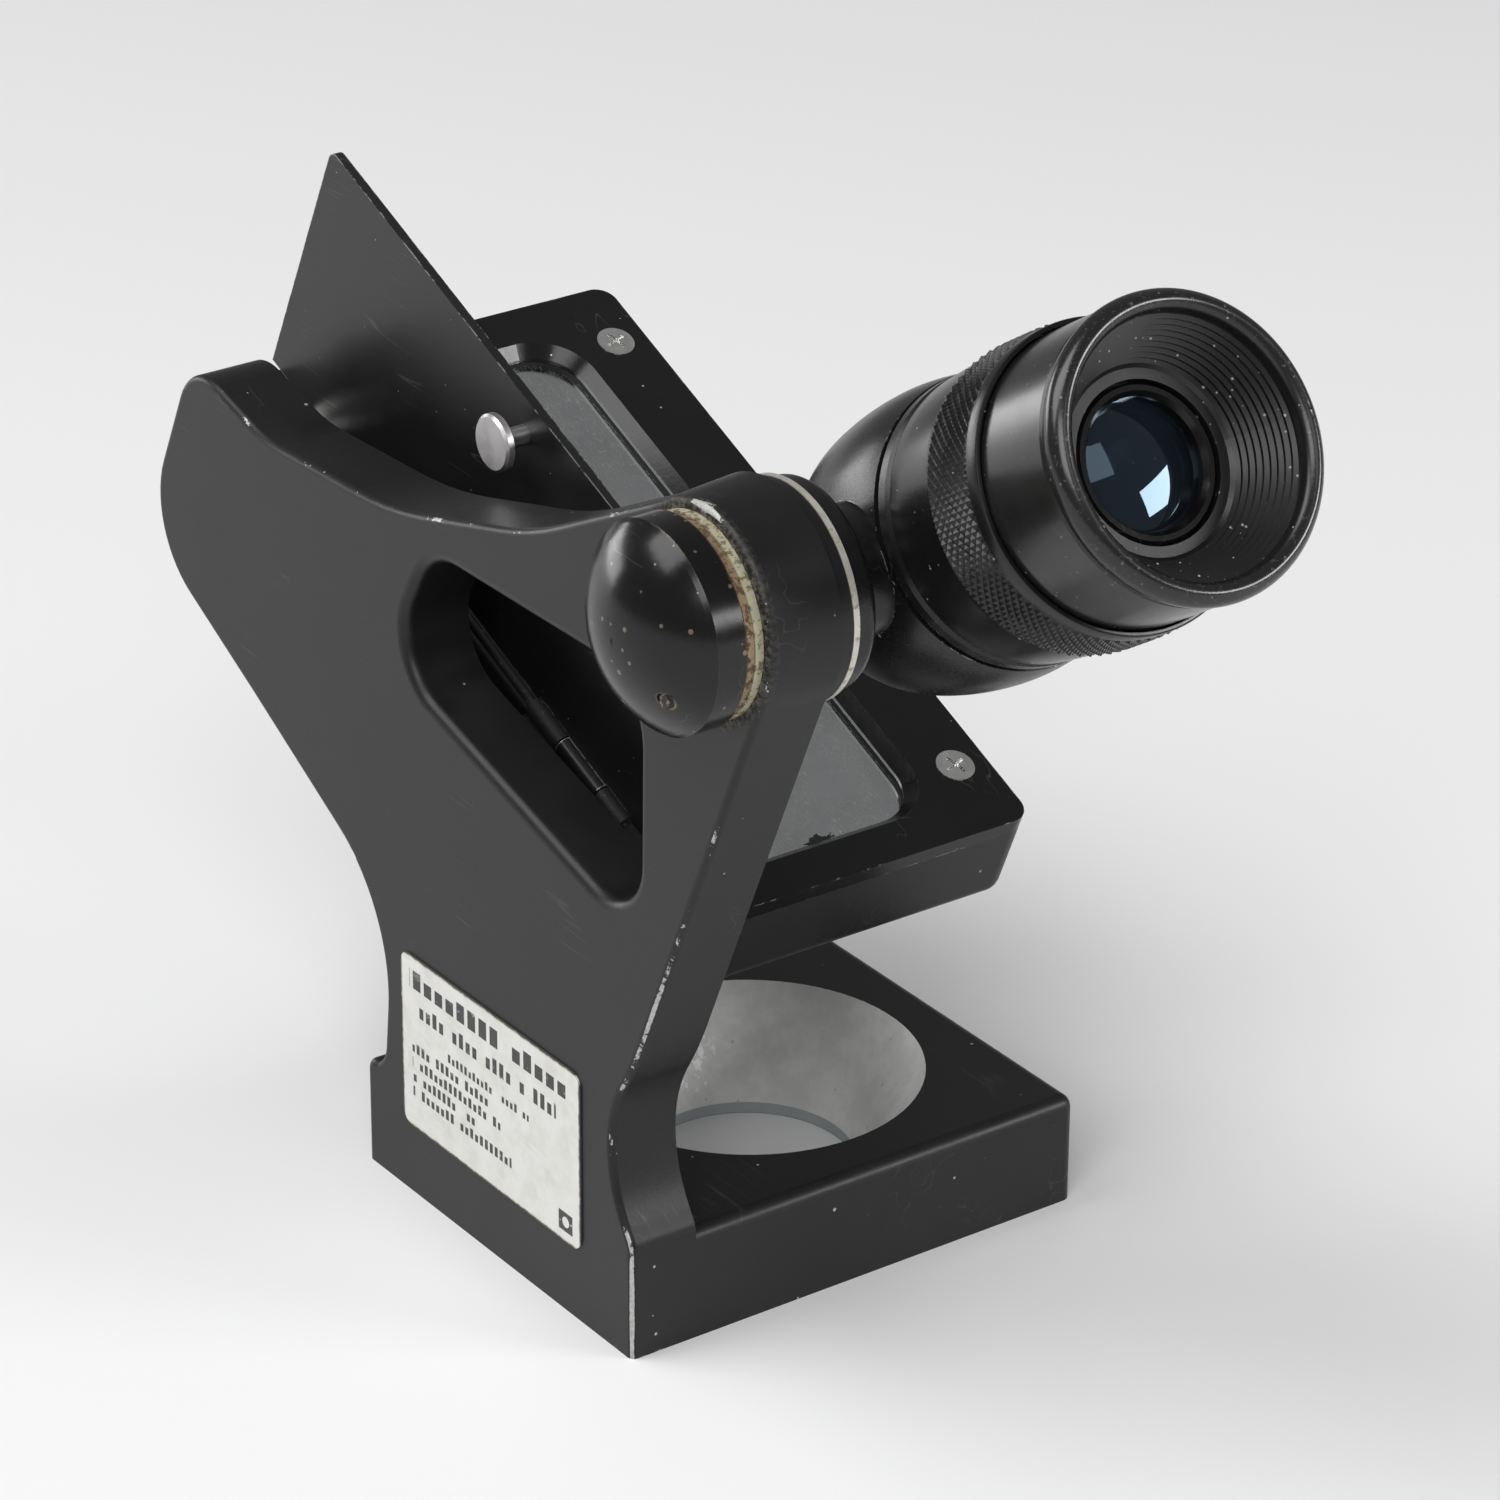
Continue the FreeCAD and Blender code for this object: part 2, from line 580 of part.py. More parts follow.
gasket = new_body("mirror_gasket")
gasket_sketch = new_sketch(gasket, "GasketOutline", "XY_Plane",
                           Placement(Vector(0, 0, glass_top), Rotation()))
gw, gs, gl = float(q("glass_half_width")), float(q("glass_start")), float(q("glass_length"))
gx = float(q("glass_centre_x"))
rounded(gasket_sketch, [(gx - gw, gs, 0), (gx + gw, gs, 0), (gx + gw, gs + gl, 0), (gx - gw, gs + gl, 0)])
rounded(gasket_sketch, opening_corners(-0.1))
pad(gasket, gasket_sketch, q("gasket_thickness"), "GasketSheet")
gasket.Placement = TRAY_FRAME


def plate_screws():
    """Four countersunk cross-recess screws holding the face plate."""
    solids = []
    head_r, head_d = float(q("screw_head_radius")), float(q("screw_head_depth"))
    stem_r, stem = float(q("screw_radius")), float(q("screw_length"))
    recess, slot = float(q("recess_span")), float(q("recess_width"))
    for x in (-float(q("screw_side")), float(q("screw_side"))):
        for along in (float(q("screw_first")), float(q("screw_first")) + float(q("screw_pitch"))):
            turn = 20.0 if x > 0 else 65.0
            head = Part.makeCylinder(head_r - 0.05, head_d, Vector(0, 0, -head_d))
            ball = head_r * float(q("crown_ratio"))
            crown = Part.makeSphere(ball, Vector(0, 0, 0.25 - ball), Vector(0, 0, 1), 60, 90, 360)
            cap = crown.common(Part.makeCylinder(head_r - 0.05, 1.0, Vector(0, 0, -0.2)))
            shank = Part.makeCylinder(stem_r, stem, Vector(0, 0, -head_d - stem + 1.0))
            screw = head.fuse([cap, shank]).removeSplitter()
            for angle in (0, 90):
                corner = Vector(-recess / 2, -slot / 2, -float(q("recess_depth")))
                blade = Part.makeBox(recess, slot, head_d, corner)
                blade.rotate(Vector(0, 0, 0), Vector(0, 0, 1), angle + turn)
                screw = screw.cut(blade)
            screw.Placement = tray_place(x, along, 0)
            solids.append(screw)
    holder = doc.addObject("Part::Feature", "PlateScrewSet")
    holder.Shape = Part.makeCompound(solids)
    return node(holder, "face_plate_screws")


plate_screws()


# ---------------------------------------------------------------- mirror cover and hinge
def knuckle(first, last, bore):
    """One hinge barrel along the tray, drilled for the pin."""
    radius = float(q("knuckle_radius"))
    base = Vector(HINGE_X, first, HINGE_UP)
    barrel = Part.makeCylinder(radius, last - first, base, Vector(0, 1, 0))
    return barrel.cut(Part.makeCylinder(bore, last - first + 2, base - Vector(0, 1, 0), Vector(0, 1, 0)))


def hinge_leaf():
    """Fixed leaves lying on the face plate outboard of the hinge line."""
    solids = []
    thick, wide = float(q("leaf_thickness")), float(q("leaf_width"))
    for first in LEAF_STARTS:
        last = first + float(q("leaf_length"))
        strip = Part.makeBox(wide + 1.0, last - first, thick, Vector(HINGE_X - wide - 0.4, first, 0.0))
        for kind, start, end in KNUCKLES:
            if kind == "cover" and first < start < last:
                corner = Vector(HINGE_X - 2.2, start - 0.3, -1)
                strip = strip.cut(Part.makeBox(8.0, end - start + 0.6, thick + 2, corner))
        for kind, start, end in KNUCKLES:
            if kind == "leaf" and first - 0.1 < start < last:
                strip = strip.fuse(knuckle(start, end, float(q("hinge_pin_radius"))))
        for x, along in RIVETS:
            strip = strip.cut(Part.makeCylinder(float(q("rivet_radius")), 4.0, Vector(x, along, -1.0)))
        solids.append(strip.removeSplitter())
    for solid in solids:
        solid.Placement = TRAY_FRAME
    holder = doc.addObject("Part::Feature", "HingeLeafSet")
    holder.Shape = Part.makeCompound(solids)
    return node(holder, "cover_hinge_leaves")


hinge_leaf()

pin = doc.addObject("Part::Cylinder", "HingePin")
bind(pin, "Radius", q("hinge_pin_radius"))
bind(pin, "Height", q("leaf_pitch") + q("leaf_length") + 1.0)
pin.Placement = tray_place(HINGE_X, LEAF_STARTS[0] - 0.5, HINGE_UP) \
    * Placement(Vector(), Rotation(Vector(1, 0, 0), -90))
node(pin, "cover_hinge_pin")


def hinge_rivets():
    """Round-headed rivets holding the leaves to the face plate."""
    solids = []
    leaf_top, head_tall = float(q("leaf_thickness")), float(q("rivet_head"))
    for x, along in RIVETS:
        shank = Part.makeCylinder(float(q("rivet_radius")), float(q("plate_thickness")) + 0.6,
                                  Vector(0, 0, -float(q("plate_thickness"))))
        head = Part.makeCylinder(float(q("rivet_head_radius")), head_tall, Vector(0, 0, leaf_top))
        rivet = shank.fuse(head).removeSplitter()
        crown = [e for e in rivet.Edges if abs(e.BoundBox.ZMin - leaf_top - head_tall) < FUZZ]
        rivet = rivet.makeFillet(head_tall * 0.7, crown)
        rivet.Placement = tray_place(x, along, 0)
        solids.append(rivet)
    holder = doc.addObject("Part::Feature", "HingeRivetSet")
    holder.Shape = Part.makeCompound(solids)
    return node(holder, "cover_hinge_rivets")


hinge_rivets()


def mirror_cover():
    """Flap that folds over the mirror, drawn standing open at right angles to it."""
    thick, tall = float(q("cover_thickness")), float(q("cover_height"))
    first, span = float(q("cover_first")), float(q("cover_length"))
    last, slant = first + span, float(q("cover_far_slant"))
    cut_along, cut_down = float(q("cover_cut_along")), float(q("cover_cut_down"))
    foot = HINGE_UP + float(q("hinge_pin_radius")) + 0.4
    face = HINGE_X + float(q("knuckle_radius")) - thick
    tail, tail_start = float(q("cover_tail")), LEAF_STARTS[-1] + float(q("leaf_length")) + 0.6
    corners = [(first, foot), (tail_start, foot), (tail_start, tail), (last, tail), (last - slant, tall),
               (first + cut_along, tall), (first, tall - cut_down)]
    sheet_body = Part.makePolygon([Vector(face, a, u) for a, u in corners + corners[:1]])
    flap = Part.Face(sheet_body).extrude(Vector(thick, 0, 0))
    upright = [e for e in flap.Edges
               if abs(e.BoundBox.XLength - thick) < FUZZ and e.BoundBox.ZMin > foot + 1.0]
    flap = flap.makeFillet(float(q("cover_corner")), upright)
    pin_bore, gap = float(q("hinge_pin_radius")) + float(q("running_gap")), float(q("pocket_gap"))
    for kind, start, end in KNUCKLES:
        if kind == "cover":
            tab = Part.makeBox(thick, end - start, foot - HINGE_UP + 0.5, Vector(face, start, HINGE_UP))
            flap = flap.fuse([knuckle(start, end, pin_bore), tab])
            before = Vector(HINGE_X, start - 1.0, HINGE_UP)
            flap = flap.cut(Part.makeCylinder(pin_bore, end - start + 2.0, before, Vector(0, 1, 0)))
        else:
            reach = float(q("knuckle_radius")) + gap
            relief = Part.makeBox(2 * reach + 2 * gap, end - start + 2 * gap, 2 * reach,
                                  Vector(HINGE_X - reach - gap, start - gap, HINGE_UP - reach))
            flap = flap.cut(relief)
    hole = Part.makeCylinder(float(q("knob_neck_radius")) * 0.7, thick + 2,
                             Vector(face - 1, float(q("knob_along")), float(q("knob_up"))), Vector(1, 0, 0))
    flap = flap.cut(hole).removeSplitter()
    flap.Placement = TRAY_FRAME
    holder = doc.addObject("Part::Feature", "CoverFlap")
    holder.Shape = flap
    return node(holder, "mirror_cover"), face


cover, COVER_FACE = mirror_cover()

neck_r, head_r = q("knob_neck_radius"), q("knob_head_radius")
knob = turned("cover_knob", [
    (0.0, 0.0), (neck_r * 0.7, 0.0), (neck_r * 0.7, q("cover_thickness")), (neck_r, q("cover_thickness")),
    (neck_r, q("cover_thickness") + q("knob_neck")),
    (head_r - 1.0, q("cover_thickness") + q("knob_neck") + 0.25),
    (head_r, q("cover_thickness") + q("knob_neck") + 0.6),
    (head_r, q("cover_thickness") + q("knob_neck") + q("knob_head") - 0.4),
    (head_r - 0.4, q("cover_thickness") + q("knob_neck") + q("knob_head")),
    (0.0, q("cover_thickness") + q("knob_neck") + q("knob_head"))], Placement())
knob.Placement = tray_place(COVER_FACE + float(q("cover_thickness")), float(q("knob_along")),
                            float(q("knob_up"))) \
    * Placement(Vector(), Rotation(Vector(0, 1, 0), -90))

# ---------------------------------------------------------------- pivot stack
FACE_X = -float(q("base_left"))
STEP_X = FACE_X + float(q("arm_thickness")) + float(q("boss_step"))
GAP = float(q("running_gap"))
ring("pivot_bush", q("bush_radius"), q("shaft_radius") + q("running_gap"),
     q("arm_thickness") + q("boss_step"), pivot_place(FACE_X))
ring("fibre_washer", q("fibre_radius"), q("shaft_radius") + 0.3, q("fibre_thickness"),
     pivot_place(FACE_X - float(q("fibre_thickness"))))
spring_x = FACE_X - float(q("fibre_thickness")) - GAP - float(q("spring_thickness"))
ring("spring_washer", q("spring_radius"), q("shaft_radius"), q("spring_thickness"), pivot_place(spring_x))
ring("thrust_washer", q("thrust_radius"), q("shaft_radius"), q("thrust_thickness"),
     pivot_place(STEP_X + GAP))

FLANGE_X = STEP_X + GAP + float(q("thrust_thickness"))
SHAFT_IN = -float(q("sleeve_radius")) - 0.5
shaft_long = SHAFT_IN - spring_x
thread_long = float(q("nut_depth")) + 1.5
turned("pivot_shaft", [(0.0, 0.0), (q("shaft_thread_radius"), 0.0), (q("shaft_thread_radius"), thread_long),
                       (q("shaft_radius"), thread_long), (q("shaft_radius"), thread_long + shaft_long),
                       (0.0, thread_long + shaft_long)], pivot_place(spring_x - thread_long))


NUT_FRAME = Placement(Vector(spring_x, PIVOT.y, PIVOT.z), Rotation(Vector(0, 1, 0), -90))


def dome_nut():
    """Domed pivot nut with a flat rim and a small cross hole for the lock screw."""
    body = new_body("pivot_dome_nut")
    sketch = new_sketch(body, "NutSection", "XZ_Plane")
    radius, deep, dome = float(q("nut_radius")), float(q("nut_depth")), float(q("nut_dome"))
    bore = float(q("shaft_thread_radius"))
    start, end = Vector(radius - 0.5, deep, 0), Vector(0, deep + dome, 0)
    ball = ((radius - 0.5) ** 2 + dome ** 2) / (2 * dome)
    centre = Vector(0, deep + dome - ball, 0)
    angle = math.asin((radius - 0.5) / ball) / 2
    middle = centre + Vector(ball * math.sin(angle), ball * math.cos(angle), 0)
    points = [Vector(bore, deep + 1.5, 0), Vector(bore, 0, 0), Vector(radius - 0.3, 0, 0),
              Vector(radius, 0.3, 0), Vector(radius, deep - 0.6, 0), start]
    for a, b in zip(points, points[1:]):
        sketch.addGeometry(Part.LineSegment(a, b))
    sketch.addGeometry(Part.Arc(start, middle, end))
    sketch.addGeometry(Part.LineSegment(end, Vector(0, deep + 1.5, 0)))
    sketch.addGeometry(Part.LineSegment(Vector(0, deep + 1.5, 0), Vector(bore, deep + 1.5, 0)))
    revolve(body, sketch, "NutTurned")
    hole = new_sketch(body, "LockHole", "XY_Plane", Placement(Vector(0, 0, deep + dome), Rotation()))
    circle(hole, -q("lock_side"), -q("lock_drop"), q("lock_screw_radius"))
    pocket(body, hole, Quantity.of(dome + 3.5), "LockHoleCut")
    body.Placement = NUT_FRAME
    return body


dome_nut()
lock = doc.addObject("Part::Cylinder", "LockScrew")
bind(lock, "Radius", q("lock_screw_radius"))
bind(lock, "Height", q("lock_screw_length"))
lock_rest = Vector(-float(q("lock_side")), -float(q("lock_drop")), float(q("nut_depth")) + 0.4)
lock.Placement = NUT_FRAME * Placement(lock_rest, Rotation())
node(lock, "nut_lock_screw")


# ---------------------------------------------------------------- eyepiece
RETICLE_SEAT = 13.0
NECK_REACH = 12.0


def bulb_housing():
    """Bulb-shaped eyepiece body with its pivot flange, bored for sleeve, reticle and light."""
    body = new_body("eyepiece_housing")
    sketch = new_sketch(body, "BulbSection", "XZ_Plane")
    rear, front, belly = -float(q("bulb_rear")), float(q("bulb_front")), float(q("bulb_radius"))
    # bulb outline as shares of its widest radius and of its rear length
    shape = [(0.71, 0.846), (0.79, 0.731), (0.894, 0.558), (0.955, 0.37), (0.987, 0.185), (1.0, 0.0)]
    outer = [Vector(belly * r, rear * s, 0) for r, s in shape]
    outer += [Vector(float(q("bulb_front_radius")), front, 0)]
    start = Vector(float(q("bulb_rear_radius")), rear, 0)
    curve = Part.BSplineCurve()
    curve.interpolate([start] + outer)
    sketch.addGeometry(curve)
    seat, lamp = float(q("sleeve_radius")), float(q("rear_bore"))
    half = float(q("reticle_thickness")) / 2
    disc = float(q("reticle_radius"))
    inside = [outer[-1], Vector(seat, front, 0), Vector(seat, float(q("sleeve_rear")), 0),
              Vector(RETICLE_SEAT, float(q("sleeve_rear")), 0), Vector(RETICLE_SEAT, half, 0),
              Vector(disc, half, 0), Vector(disc, -half, 0), Vector(disc - 1.3, -half, 0),
              Vector(disc - 1.3, -3.0, 0), Vector(12.0, -5.5, 0), Vector(12.0, rear + 7.5, 0),
              Vector(lamp, rear + 3.5, 0), Vector(lamp, rear, 0), start]
    for a, b in zip(inside, inside[1:]):
        sketch.addGeometry(Part.LineSegment(a, b))
    revolve(body, sketch, "BulbTurned")

    # flange and neck run along the pivot axis: local -X of the turned body
    flange = new_sketch(body, "FlangeCircle", "YZ_Plane", Placement(Vector(0, 0, FLANGE_X), Rotation()))
    circle(flange, 0.0, 0.0, q("flange_radius"))
    pad(body, flange, q("flange_depth"), "FlangeDisc")
    neck = new_sketch(body, "NeckCircle", "YZ_Plane", Placement(Vector(0, 0, FLANGE_X + 1.0), Rotation()))
    circle(neck, 0.0, 0.0, q("neck_radius"))
    pad(body, neck, Quantity.of(-float(q("sleeve_radius")) - 0.05 - FLANGE_X - 1.0), "Neck")
    hole = new_sketch(body, "ShaftHole", "YZ_Plane", Placement(Vector(0, 0, FLANGE_X - 1.0), Rotation()))
    circle(hole, 0.0, 0.0, q("shaft_radius"))
    pocket(body, hole, Quantity.of(SHAFT_IN - FLANGE_X + 1.0), "ShaftHoleCut")
    past_neck = Placement(Vector(0, 0, front + NECK_REACH), Rotation())
    clear = new_sketch(body, "RingRelief", "XY_Plane", past_neck)
    circle(clear, 0.0, 0.0, q("sleeve_collar_radius") + 0.4)
    pocket(body, clear, Quantity.of(NECK_REACH), "RingReliefCut")
    rim_x, rim_wide = FLANGE_X + float(q("flange_depth")), 2 * float(q("flange_radius"))
    rims = pick_edges(body.Shape, lambda e: abs(e.BoundBox.XMin - rim_x) < FUZZ
                      and e.BoundBox.XLength < FUZZ and abs(e.BoundBox.YLength - rim_wide) < 0.1)
    dress(body, "Fillet", "FlangeRound", rims, q("flange_round"))
    body.Placement = eye_place()
    return body


housing = bulb_housing()

half_reticle = q("reticle_thickness") / 2
turned("reticle_glass", [
    (0.0, 0.0), (q("reticle_radius"), 0.0), (q("reticle_radius"), q("reticle_thickness")),
    (0.0, q("reticle_thickness"))], eye_place(-float(half_reticle)))
ring("reticle_retainer", Quantity.of(RETICLE_SEAT), q("reticle_radius") - 1.0,
     q("sleeve_rear") - half_reticle, eye_place(float(half_reticle)))

rear, front, collar0 = q("sleeve_rear"), q("sleeve_front"), q("bulb_front")
collar1 = collar0 + q("sleeve_collar")
clip0, clip1 = q("clip_station"), q("clip_station") + q("clip_thickness")
turned("barrel_sleeve", [
    (SLEEVE_BORE, rear), (q("sleeve_radius"), rear), (q("sleeve_radius"), collar0),
    (q("sleeve_collar_radius") - 0.6, collar0), (q("sleeve_collar_radius") - 0.6, collar0 + 0.5),
    (q("sleeve_collar_radius"), collar0 + 0.9), (q("sleeve_collar_radius"), collar1 - 0.7),
    (q("sleeve_collar_radius") - 0.5, collar1), (q("sleeve_radius"), collar1), (q("sleeve_radius"), clip0),
    (q("sleeve_radius") - 0.5, clip0), (q("sleeve_radius") - 0.5, clip1),
    (q("sleeve_radius"), clip1), (q("sleeve_radius"), front), (SLEEVE_BORE, front)], eye_place())
ring("ring_clip", q("sleeve_radius") + 1.1, q("sleeve_radius") - 0.5, q("clip_thickness"),
     eye_place(float(clip0)))

kr, wide = q("ring_radius"), q("ring_start_radius")
bore, tube_bore = RING_BORE, TUBE_RADIUS + q("running_gap")
turned("focus_ring", [
    (bore, q("ring_start")), (wide - 0.5, q("ring_start")), (wide, q("ring_start") + 0.6),
    (wide + 0.2, q("ring_start") + 3.4), (kr - 0.6, q("ring_knurl") - 1.0),
    (kr - 0.6, q("ring_knurl") - 0.3),
    (kr, q("ring_knurl")), (kr, q("ring_band")), (kr - 0.3, q("ring_band") + 0.3),
    (kr - 0.3, q("ring_front") - 0.3), (kr - 0.6, q("ring_front")), (q("ring_cup_bore"), q("ring_front")),
    (q("ring_cup_bore"), q("ring_cup_floor")), (tube_bore, q("ring_cup_floor")), (tube_bore, front + 0.3),
    (bore, front + 0.3), (bore, clip1 + 0.3), (bore + 1.4, clip1 + 0.3), (bore + 1.4, clip0 - 0.3),
    (bore, clip0 - 0.3)], eye_place())

tr, tb = TUBE_RADIUS, TUBE_BORE
turned("lens_tube", [
    (tb, q("tube_rear")), (tr - 0.3, q("tube_rear")), (tr, q("tube_rear") + 0.3), (tr, q("tube_front")),
    (tb, q("tube_front"))], eye_place())


def eyecup():
    """Moulded eyecup with a rolled rim and a ridged inner cone."""
    body = new_body("eyecup")
    sketch = new_sketch(body, "CupSection", "XZ_Plane")
    radius, rim = float(q("cup_radius")), float(q("cup_rim_radius"))
    top, mouth = float(q("cup_front")), float(q("cup_mouth_radius"))
    floor, floor_r = float(q("cup_floor")), float(q("cup_floor_radius"))
    start, thread = float(q("cup_start")), float(TUBE_RADIUS)
    shoulder, hole = float(q("tube_front")), float(q("cup_hole_radius"))
    points = [Vector(thread, shoulder, 0), Vector(thread, start, 0), Vector(radius - 0.5, start, 0),
              Vector(radius, start + 0.5, 0), Vector(radius, top - 4.4, 0),
              Vector(radius - 0.25, top - 4.0, 0)]
    for a, b in zip(points, points[1:]):
        sketch.addGeometry(Part.LineSegment(a, b))
    roll = Part.BSplineCurve()
    roll.interpolate([points[-1], Vector(rim - 0.1, top - 3.0, 0), Vector(rim, top - 1.9, 0),
                      Vector(rim - 0.5, top - 0.7, 0), Vector(rim - 1.5, top - 0.05, 0),
                      Vector(mouth + 0.7, top - 0.25, 0), Vector(mouth, top - 1.4, 0)])
    sketch.addGeometry(roll)
    ridges = int(q("ridge_count").value)
    first, last = Vector(mouth - 0.1, top - 2.0, 0), Vector(floor_r + 0.5, floor + 0.5, 0)
    wall = [Vector(mouth, top - 1.4, 0), first]
    step = (last - first) * (1.0 / ridges)
    out = Vector(-step.y, step.x, 0).normalize()
    if out.x > 0:
        out = out * -1
    for i in range(ridges):
        a = first + step * i
        wall.append(a + step * 0.45 + out * -0.34)
        wall.append(a + step)
    wall += [Vector(floor_r, floor, 0), Vector(hole, floor, 0), Vector(hole, shoulder, 0), points[0]]
    for a, b in zip(wall, wall[1:]):
        sketch.addGeometry(Part.LineSegment(a, b))
    revolve(body, sketch, "CupTurned")
    body.Placement = eye_place()
    return body


eyecup()


def lens(label, radius, edge_low, edge, bulge_low, bulge_high, seat):
    """A lens turned from two arcs inside a flat seat ring; stations along the eyepiece axis."""
    body = new_body(label)
    sketch = new_sketch(body, "Section_" + label, "XZ_Plane")
    high = edge_low + edge
    clear = radius - seat

    def arc(y, bulge):
        ball = (clear ** 2 + bulge ** 2) / (2 * abs(bulge))
        sign = 1 if bulge > 0 else -1
        angle = math.asin(clear / ball) / 2
        return Vector(ball * math.sin(angle), y + bulge - sign * ball * (1 - math.cos(angle)), 0)

    low_axis, high_axis = Vector(0, edge_low - bulge_low, 0), Vector(0, high + bulge_high, 0)
    rim = [Vector(clear, edge_low, 0), Vector(radius, edge_low, 0), Vector(radius, high, 0),
           Vector(clear, high, 0)]
    sketch.addGeometry(Part.Arc(low_axis, arc(edge_low, -bulge_low), rim[0]))
    for a, b in zip(rim, rim[1:]):
        sketch.addGeometry(Part.LineSegment(a, b))
    sketch.addGeometry(Part.Arc(rim[-1], arc(high, bulge_high), high_axis))
    sketch.addGeometry(Part.LineSegment(high_axis, low_axis))
    revolve(body, sketch, "Turned_" + label)
    body.Placement = eye_place()
    return body


field_rear, field_edge = q("field_lens_rear"), q("field_lens_edge")
eye_r, eye_rear, cell = q("eye_lens_radius"), q("eye_lens_rear"), q("cell_rear")
seat_gap = q("seat_clearance")
lens("field_lens", float(tb), float(field_rear), float(field_edge), float(q("field_rear_bulge")),
     float(q("field_front_bulge")), float(q("spacer_wall") + seat_gap))
ring("field_lens_retainer", tb, tb - q("spacer_wall"), q("field_retainer"),
     eye_place(float(field_rear - q("field_retainer"))))
ring("lens_spacer", tb, tb - q("spacer_wall"), cell - field_rear - field_edge,
     eye_place(float(field_rear + field_edge)))
turned("eye_lens_cell", [
    (eye_r - q("cell_lip"), cell), (tb, cell), (tb, q("tube_front")), (eye_r, q("tube_front")),
    (eye_r, eye_rear), (eye_r - q("cell_lip"), eye_rear)], eye_place())
lens("eye_lens", float(eye_r), float(eye_rear), float(q("eye_lens_edge")), float(q("eye_rear_bulge")),
     float(q("eye_front_bulge")), float(q("cell_lip") + seat_gap))
lip, rim = q("retainer_bore"), q("retainer_radius")
turned("eye_lens_retainer", [
    (lip, q("tube_front")), (rim, q("tube_front")),
    (rim, q("tube_front") + 1.9), (rim - 0.35, q("tube_front") + 2.3), (lip + 0.6, q("tube_front") + 2.3),
    (lip, q("tube_front") + 1.6)], eye_place())

# ---------------------------------------------------------------- checks and export
doc.recompute()
failed = [o.Name for o in doc.Objects if {"Invalid", "Error"} & set(o.State)]
if failed:
    raise RuntimeError("failed objects: %s" % ", ".join(failed))
for label, obj in NODES:
    if obj.Shape.isNull() or not obj.Shape.isValid():
        raise RuntimeError("%s has no valid shape" % label)

os.makedirs("parts", exist_ok=True)
for label, obj in NODES:
    obj.Shape.exportStep("parts/%s.step" % label)
    box = obj.Shape.BoundBox
    print("%-22s %2d solid(s) %9.1f mm3  x %.1f..%.1f  y %.1f..%.1f  z %.1f..%.1f" % (
        label, len(obj.Shape.Solids), obj.Shape.Volume, box.XMin, box.XMax, box.YMin, box.YMax,
        box.ZMin, box.ZMax))
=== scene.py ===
"""Darkroom focusing magnifier: finishes, fine detail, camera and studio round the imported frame."""
from __future__ import annotations

import json
import logging
import math
from dataclasses import dataclass
from enum import Enum
from typing import Protocol

import bmesh
import bpy
from mathutils import Matrix, Vector

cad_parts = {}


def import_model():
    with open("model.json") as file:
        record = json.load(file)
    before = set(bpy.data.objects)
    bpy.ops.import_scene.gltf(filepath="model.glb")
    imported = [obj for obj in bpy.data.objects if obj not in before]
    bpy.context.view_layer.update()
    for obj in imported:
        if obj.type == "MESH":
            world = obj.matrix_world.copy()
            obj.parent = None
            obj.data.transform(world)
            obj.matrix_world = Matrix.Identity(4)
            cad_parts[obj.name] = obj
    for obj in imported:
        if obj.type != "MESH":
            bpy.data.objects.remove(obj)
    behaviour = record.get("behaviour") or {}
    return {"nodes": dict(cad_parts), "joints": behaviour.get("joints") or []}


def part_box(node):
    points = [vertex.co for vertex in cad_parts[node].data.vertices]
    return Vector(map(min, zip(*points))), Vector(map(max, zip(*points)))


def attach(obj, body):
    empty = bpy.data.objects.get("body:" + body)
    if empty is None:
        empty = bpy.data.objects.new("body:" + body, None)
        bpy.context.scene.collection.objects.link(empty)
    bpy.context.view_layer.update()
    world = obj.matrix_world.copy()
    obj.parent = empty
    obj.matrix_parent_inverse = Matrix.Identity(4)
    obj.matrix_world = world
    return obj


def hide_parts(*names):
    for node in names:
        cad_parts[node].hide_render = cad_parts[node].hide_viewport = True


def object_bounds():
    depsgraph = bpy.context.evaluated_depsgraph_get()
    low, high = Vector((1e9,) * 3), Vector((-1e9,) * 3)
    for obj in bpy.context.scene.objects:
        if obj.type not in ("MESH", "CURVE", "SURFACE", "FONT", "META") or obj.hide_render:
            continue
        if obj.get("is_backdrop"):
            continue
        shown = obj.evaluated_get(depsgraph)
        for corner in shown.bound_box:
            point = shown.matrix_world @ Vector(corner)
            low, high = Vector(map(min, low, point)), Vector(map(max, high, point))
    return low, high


LOG = logging.getLogger("magnifier")
MM = 0.001

Colour = tuple[float, float, float]
Number = float | int


class Axis(Enum):
    """A direction of the row frame, with its place in a vector."""

    X = 0
    Y = 1
    Z = 2


class Cell(Enum):
    """Which result of a Voronoi texture is wanted."""

    DISTANCE = "Distance"
    COLOUR = "Color"


